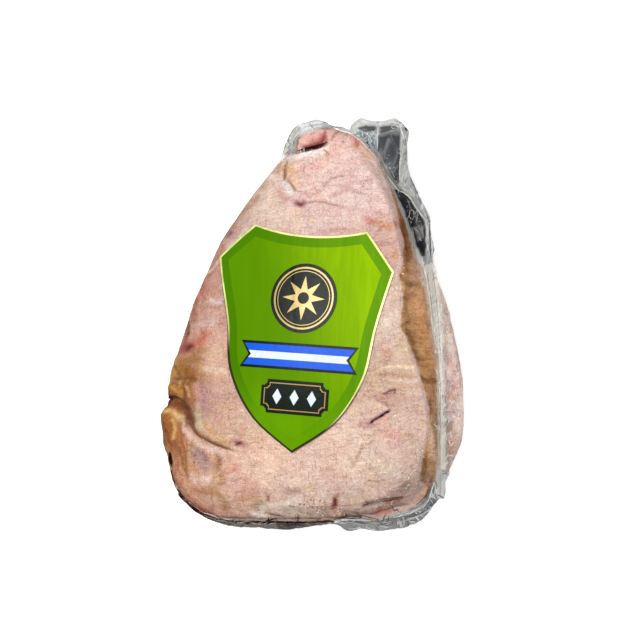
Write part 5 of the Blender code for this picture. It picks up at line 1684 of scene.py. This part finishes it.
def printed(name, outlines, lift, looks):
    """Flat shapes, cut into a net and laid over the pack. Holes follow their outline."""
    bm = bmesh.new()
    for outline, *holes in outlines:
        loops = []
        for ring in [outline] + holes:
            verts = [bm.verts.new((x, y, 0.0)) for x, y in ring]
            loops += [bm.edges.new((verts[i - 1], verts[i])) for i in range(len(verts))]
        bmesh.ops.triangle_fill(bm, use_beauty=True, use_dissolve=False, edges=loops)
    reach = max(max(abs(v.co.x), abs(v.co.y)) for v in bm.verts)
    steps = int(reach / PRINT_CELL) + 1
    for axis in ((1, 0, 0), (0, 1, 0)):
        for step in range(-steps, steps + 1):
            geometry = bm.verts[:] + bm.edges[:] + bm.faces[:]
            place = [a * step * PRINT_CELL for a in axis]
            bmesh.ops.bisect_plane(bm, geom=geometry, plane_co=place, plane_no=axis, dist=1e-7)
    bmesh.ops.triangulate(bm, faces=bm.faces)
    up = [f for f in bm.faces if f.normal.z < 0]
    bmesh.ops.reverse_faces(bm, faces=up)
    flat = np.array([v.co[:2] for v in bm.verts])
    x, y = place_on_pack(flat[:, 0], flat[:, 1])
    z = surface_height(x, y) + lift + PRINT_THICKNESS / 2
    for vert, px, py, pz in zip(bm.verts, x, y, z):
        vert.co = np.array([px, py, pz]) - TO_BOX_MIDDLE
    mesh = bpy.data.meshes.new(name)
    bm.to_mesh(mesh)
    bm.free()
    mesh.materials.append(looks)
    made = linked(name, mesh)
    thick = made.modifiers.new("Thickness", "SOLIDIFY")
    thick.thickness = PRINT_THICKNESS
    thick.offset = 0.0
    return made


def label_green_material(name, left, right, low):
    """Green foil print: upright brushed streaks, painted light that makes it brighter to the right, one even
    green near the point.
    """
    made, tree = graph(name)
    place = object_place(tree)
    spot = node(tree, "ShaderNodeSeparateXYZ", {"Vector": place})
    sideways = plus(tree, spot.outputs["X"], times(tree, spot.outputs["Y"], 0.25))
    # painted light: darker green on the left, brighter to the right
    colour = blend(tree, ramp(tree, sideways, -0.024, 0.070), (*paint(left), 1), (*paint(right), 1))
    colour = blend(tree, ramp(tree, spot.outputs["Y"], -0.030, -0.075), colour, (*paint(low), 1))
    upright = object_place(tree, (1.0, 0.05, 1.0), 0.09)
    streak = ramp(tree, cloud(tree, upright, 0.0030, 4.0, 0.6), 0.35, 0.65)
    shown = ramp(tree, sideways, -0.030, 0.060, 0.25, 1.0)
    colour = tinted(tree, colour, times(tree, streak, shown), 0.9, (0.84, 0.88, 0.9))
    broad = ramp(tree, cloud(tree, object_place(tree, (1.0, 0.22, 1.0), 0.09), 0.020, 2.0, 0.5), 0.35, 0.65)
    colour = tinted(tree, colour, broad, 0.8, (0.90, 0.93, 0.9))
    bump = bumped(tree, cloud(tree, place, 0.012, 2.0), 0.2, 0.0012)
    return finished(made, tree, {
        "Base Color": colour, "Roughness": 0.42, "Normal": bump, "Specular IOR Level": 0.01})


def ink_material(name, colour, roughness=0.38):
    made, tree = graph(name)
    place = object_place(tree)
    wear = ramp(tree, cloud(tree, place, 0.0025, 3.0), 0.35, 0.75)
    shown = blend(tree, times(tree, wear, 0.5), (*paint(colour), 1), (*(0.82 * paint(colour)), 1))
    bump = bumped(tree, cloud(tree, place, 0.006, 2.0), 0.2, 0.0008)
    return finished(made, tree, {
        "Base Color": shown, "Roughness": roughness, "Normal": bump, "Specular IOR Level": 0.12})


def gold_material(name, painted_bright, dark_reflection, low_end, high_end):
    """Gold foil with its reflection painted in: bright, darkening toward the label's lower left."""
    made, tree = graph(name)
    place = object_place(tree)
    on_label = node(tree, "ShaderNodeTexCoord").outputs["Object"]
    height = node(tree, "ShaderNodeSeparateXYZ", {"Vector": on_label})
    worn = ramp(tree, cloud(tree, place, 0.009, 3.0, 0.6), 0.35, 0.65)
    slope = plus(tree, times(tree, height.outputs["X"], 0.8), height.outputs["Y"])
    low = ramp(tree, slope, low_end, high_end)
    amount = times(tree, low, plus(tree, times(tree, worn, 0.30), 0.70))
    colour = blend(tree, amount, (*paint(dark_reflection), 1), (*paint(painted_bright), 1))
    return finished(made, tree, {
        "Base Color": colour, "Roughness": 0.34, "Metallic": 0.15, "Specular IOR Level": 0.2})


def circle(cx, cy, radius, count=56):
    return [(cx + radius * math.sin(math.tau * i / count), cy + radius * math.cos(math.tau * i / count))
            for i in range(count)]


def star(cx, cy, outer, inner, points):
    out = []
    for i in range(2 * points):
        reach = outer if i % 2 == 0 else inner
        turn = math.pi * i / points
        out.append((cx + reach * math.sin(turn), cy + reach * math.cos(turn)))
    return out


def notched_plate(cx, cy, half_width, half_height, notch):
    """A plate with stepped corners."""
    w, h, n = half_width, half_height, notch
    right = [(w - n, h), (w - n, h - n * 0.5), (w - n * 0.5, h - n), (w, h - n)]
    corner = right + [(x, -y) for x, y in right[::-1]]
    shape = corner + [(-x, -y) for x, y in corner]
    return [(cx + x, cy + y) for x, y in shape]


def lozenge(cx, cy, half_width, half_height):
    return [(cx, cy + half_height), (cx + half_width, cy), (cx, cy - half_height), (cx - half_width, cy)]


def swallowtail(cy, half_width, half_height, bite, low=-1.0, high=1.0):
    """A ribbon across the label with forked ends, or one stripe of it between two parts of its height."""
    def end(part):
        return half_width - bite * (1 - abs(part))
    parts = [low + (high - low) * i / 4 for i in range(5)]
    if low < 0 < high:
        parts = sorted(set(parts + [0.0]))
    right = [(end(p), cy + p * half_height) for p in parts[::-1]]
    left = [(-end(p), cy + p * half_height) for p in parts]
    return right + left


def make_label():
    """The sticker: foil rim, dark and bright green fields, and an emblem of roundel, ribbon and plaque."""
    green = label_green_material("label_green", (91, 142, 2), (150, 195, 3), (103, 158, 2))
    deep = label_green_material("label_deep_green", (74, 128, 2), (106, 160, 16), (100, 156, 2))
    # the gold foils' bright and dark reflections are painted in
    edging = gold_material("label_edging", (252, 246, 168), (58, 46, 16), -0.026, 0.006)
    gold = gold_material("label_gold", (252, 248, 160), (46, 52, 18), -0.060, -0.034)
    badge_gold = gold_material("badge_gold", (216, 190, 124), (176, 146, 88), -0.06, 0.06)
    black = ink_material("label_black", (12, 26, 10))
    blue = ink_material("label_blue", (8, 92, 226))
    white = ink_material("label_white", (226, 236, 248))
    edge = shield_outline()
    rim = [(x + LEFT_RIM_EXTRA * smooth_step(-0.02, -0.04, x), y) for x, y in inset(edge, 0.0014)]
    # name, layer, looks and the outlines with their holes
    prints = (
        ("label_base", 0, edging, [(edge,)]),
        ("label_rim", 1, gold, [(inset(edge, 0.0005),)]),
        ("label_band", 2, deep, [(rim,)]),
        ("label_field", 3, green, [(inset(edge, 0.0078),)]),
        ("ribbon_edge", 4, black, [(swallowtail(RIBBON_UP, 0.0420, 0.0090, 0.0060),)]),
        ("ribbon_blue", 5, blue, [(swallowtail(RIBBON_UP, *RIBBON_STRIPES, 0.36, 1.0),),
                                  (swallowtail(RIBBON_UP, *RIBBON_STRIPES, -1.0, -0.36),)]),
        ("ribbon_white", 5, white, [(swallowtail(RIBBON_UP, *RIBBON_STRIPES, -0.34, 0.34),)]),
        ("roundel", 6, black, [(circle(*ROUNDEL, 0.0235),)]),
        ("roundel_ring", 7, badge_gold, [(circle(*ROUNDEL, 0.0212), circle(*ROUNDEL, 0.0200)),
                                         (circle(*ROUNDEL, 0.0186), circle(*ROUNDEL, 0.0181))]),
        ("roundel_star", 7, badge_gold, [(star(*ROUNDEL, 0.0150, 0.0062, 8),
        circle(*ROUNDEL, 0.0040, 24))]),
        ("plaque", 6, black, [(notched_plate(*PLAQUE, 0.0238, 0.0112, 0.0042),)]),
        ("plaque_line", 7, badge_gold, [(notched_plate(*PLAQUE, 0.0218, 0.0092, 0.0038),
                                         notched_plate(*PLAQUE, 0.0211, 0.0085, 0.0036))]),
        ("plaque_diamonds", 7, white, [(lozenge(x, PLAQUE[1], 0.0032, 0.0052),)
                                       for x in (-0.0122, 0.0, 0.0122)]),
    )
    return [printed(name, outlines, LABEL_LIFT + layer * PRINT_STEP, looks)
            for name, layer, looks, outlines in prints]


def make_camera():
    place, right, up, back = view_axes()
    data = bpy.data.cameras.new("camera")
    data.lens, data.sensor_width = LENS, SENSOR
    camera = linked("camera", data)
    turn = Matrix((right, up, back)).transposed().to_4x4()
    turn.translation = place - TO_BOX_MIDDLE
    camera.matrix_world = turn
    bpy.context.scene.camera = camera


def area_light(name, place, size, power):
    data = bpy.data.lights.new(name, "AREA")
    data.shape = "DISK"
    data.size, data.energy = size, power
    lamp = linked(name, data)
    back = np.array(place) - LIGHT_TARGET
    back /= np.linalg.norm(back)
    side = np.cross([0.0, 1.0, 0.0], back)
    side /= np.linalg.norm(side)
    turn = Matrix((side, np.cross(back, side), back)).transposed().to_4x4()
    turn.translation = place
    lamp.matrix_world = turn


def make_light():
    scene = bpy.context.scene
    world = bpy.data.worlds.new("studio")
    world.use_nodes = True
    world.node_tree.nodes["Background"].inputs["Color"].default_value = (1.0, 1.0, 1.0, 1.0)
    world.node_tree.nodes["Background"].inputs["Strength"].default_value = WORLD_STRENGTH
    world.cycles_visibility.glossy = False
    scene.world = world
    scene.view_settings.view_transform = "Standard"
    area_light("key", *KEY_LIGHT)
    area_light("fill", *FILL_LIGHT)


def make_floor():
    made, tree = graph("floor")
    grain = ramp(tree, cloud(tree, object_place(tree), 0.05, 2.0), 0.3, 0.7, 0.0, 1.0)
    colour = blend(tree, grain, (0.93, 0.93, 0.93, 1), (0.95, 0.95, 0.95, 1))
    finished(made, tree, {
        "Base Color": colour, "Roughness": 0.9, "Specular IOR Level": 0.0, "Emission Strength": 0.45})
    mesh = bpy.data.meshes.new("floor")
    corners = [(x * FLOOR_HALF, y * FLOOR_HALF, 0) for x, y in ((-1, -1), (1, -1), (1, 1), (-1, 1))]
    mesh.from_pydata(corners, [], [(0, 1, 2, 3)])
    mesh.materials.append(made)
    floor = linked("floor", mesh)
    floor.location.z = -FLOOR_DROP
    floor.visible_glossy = False


make_camera()
make_light()
make_floor()
fat, lean, skin, margin = make_fat(), make_lean(), make_skin(), make_margin()
surfaces = surface_trees((fat, skin, margin))
crease_looks, glint_looks = line_material("film_crease", 0.25, 0.3), line_material("film_glint", 0.25, 0.3)
wrinkles = make_lines("film_wrinkles", FILM_LINES, surfaces, crease_looks, WRINKLE_RISE)
glints = make_lines("film_glints", crackle_lines(), surfaces, glint_looks, GLINT_RISE)
juice_and_shade = make_lines("fat_creases", JUICE_AND_SHADE_LINES, surfaces, line_material("juice_and_shade", 0.35, 0.04), JUICE_AND_SHADE_RISE)
for piece in (fat, lean, skin, margin, wrinkles, glints, juice_and_shade):
    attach(piece, "root")
    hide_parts("vacuum_pack")
for piece in make_label():
    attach(piece, "root")
    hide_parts("label")
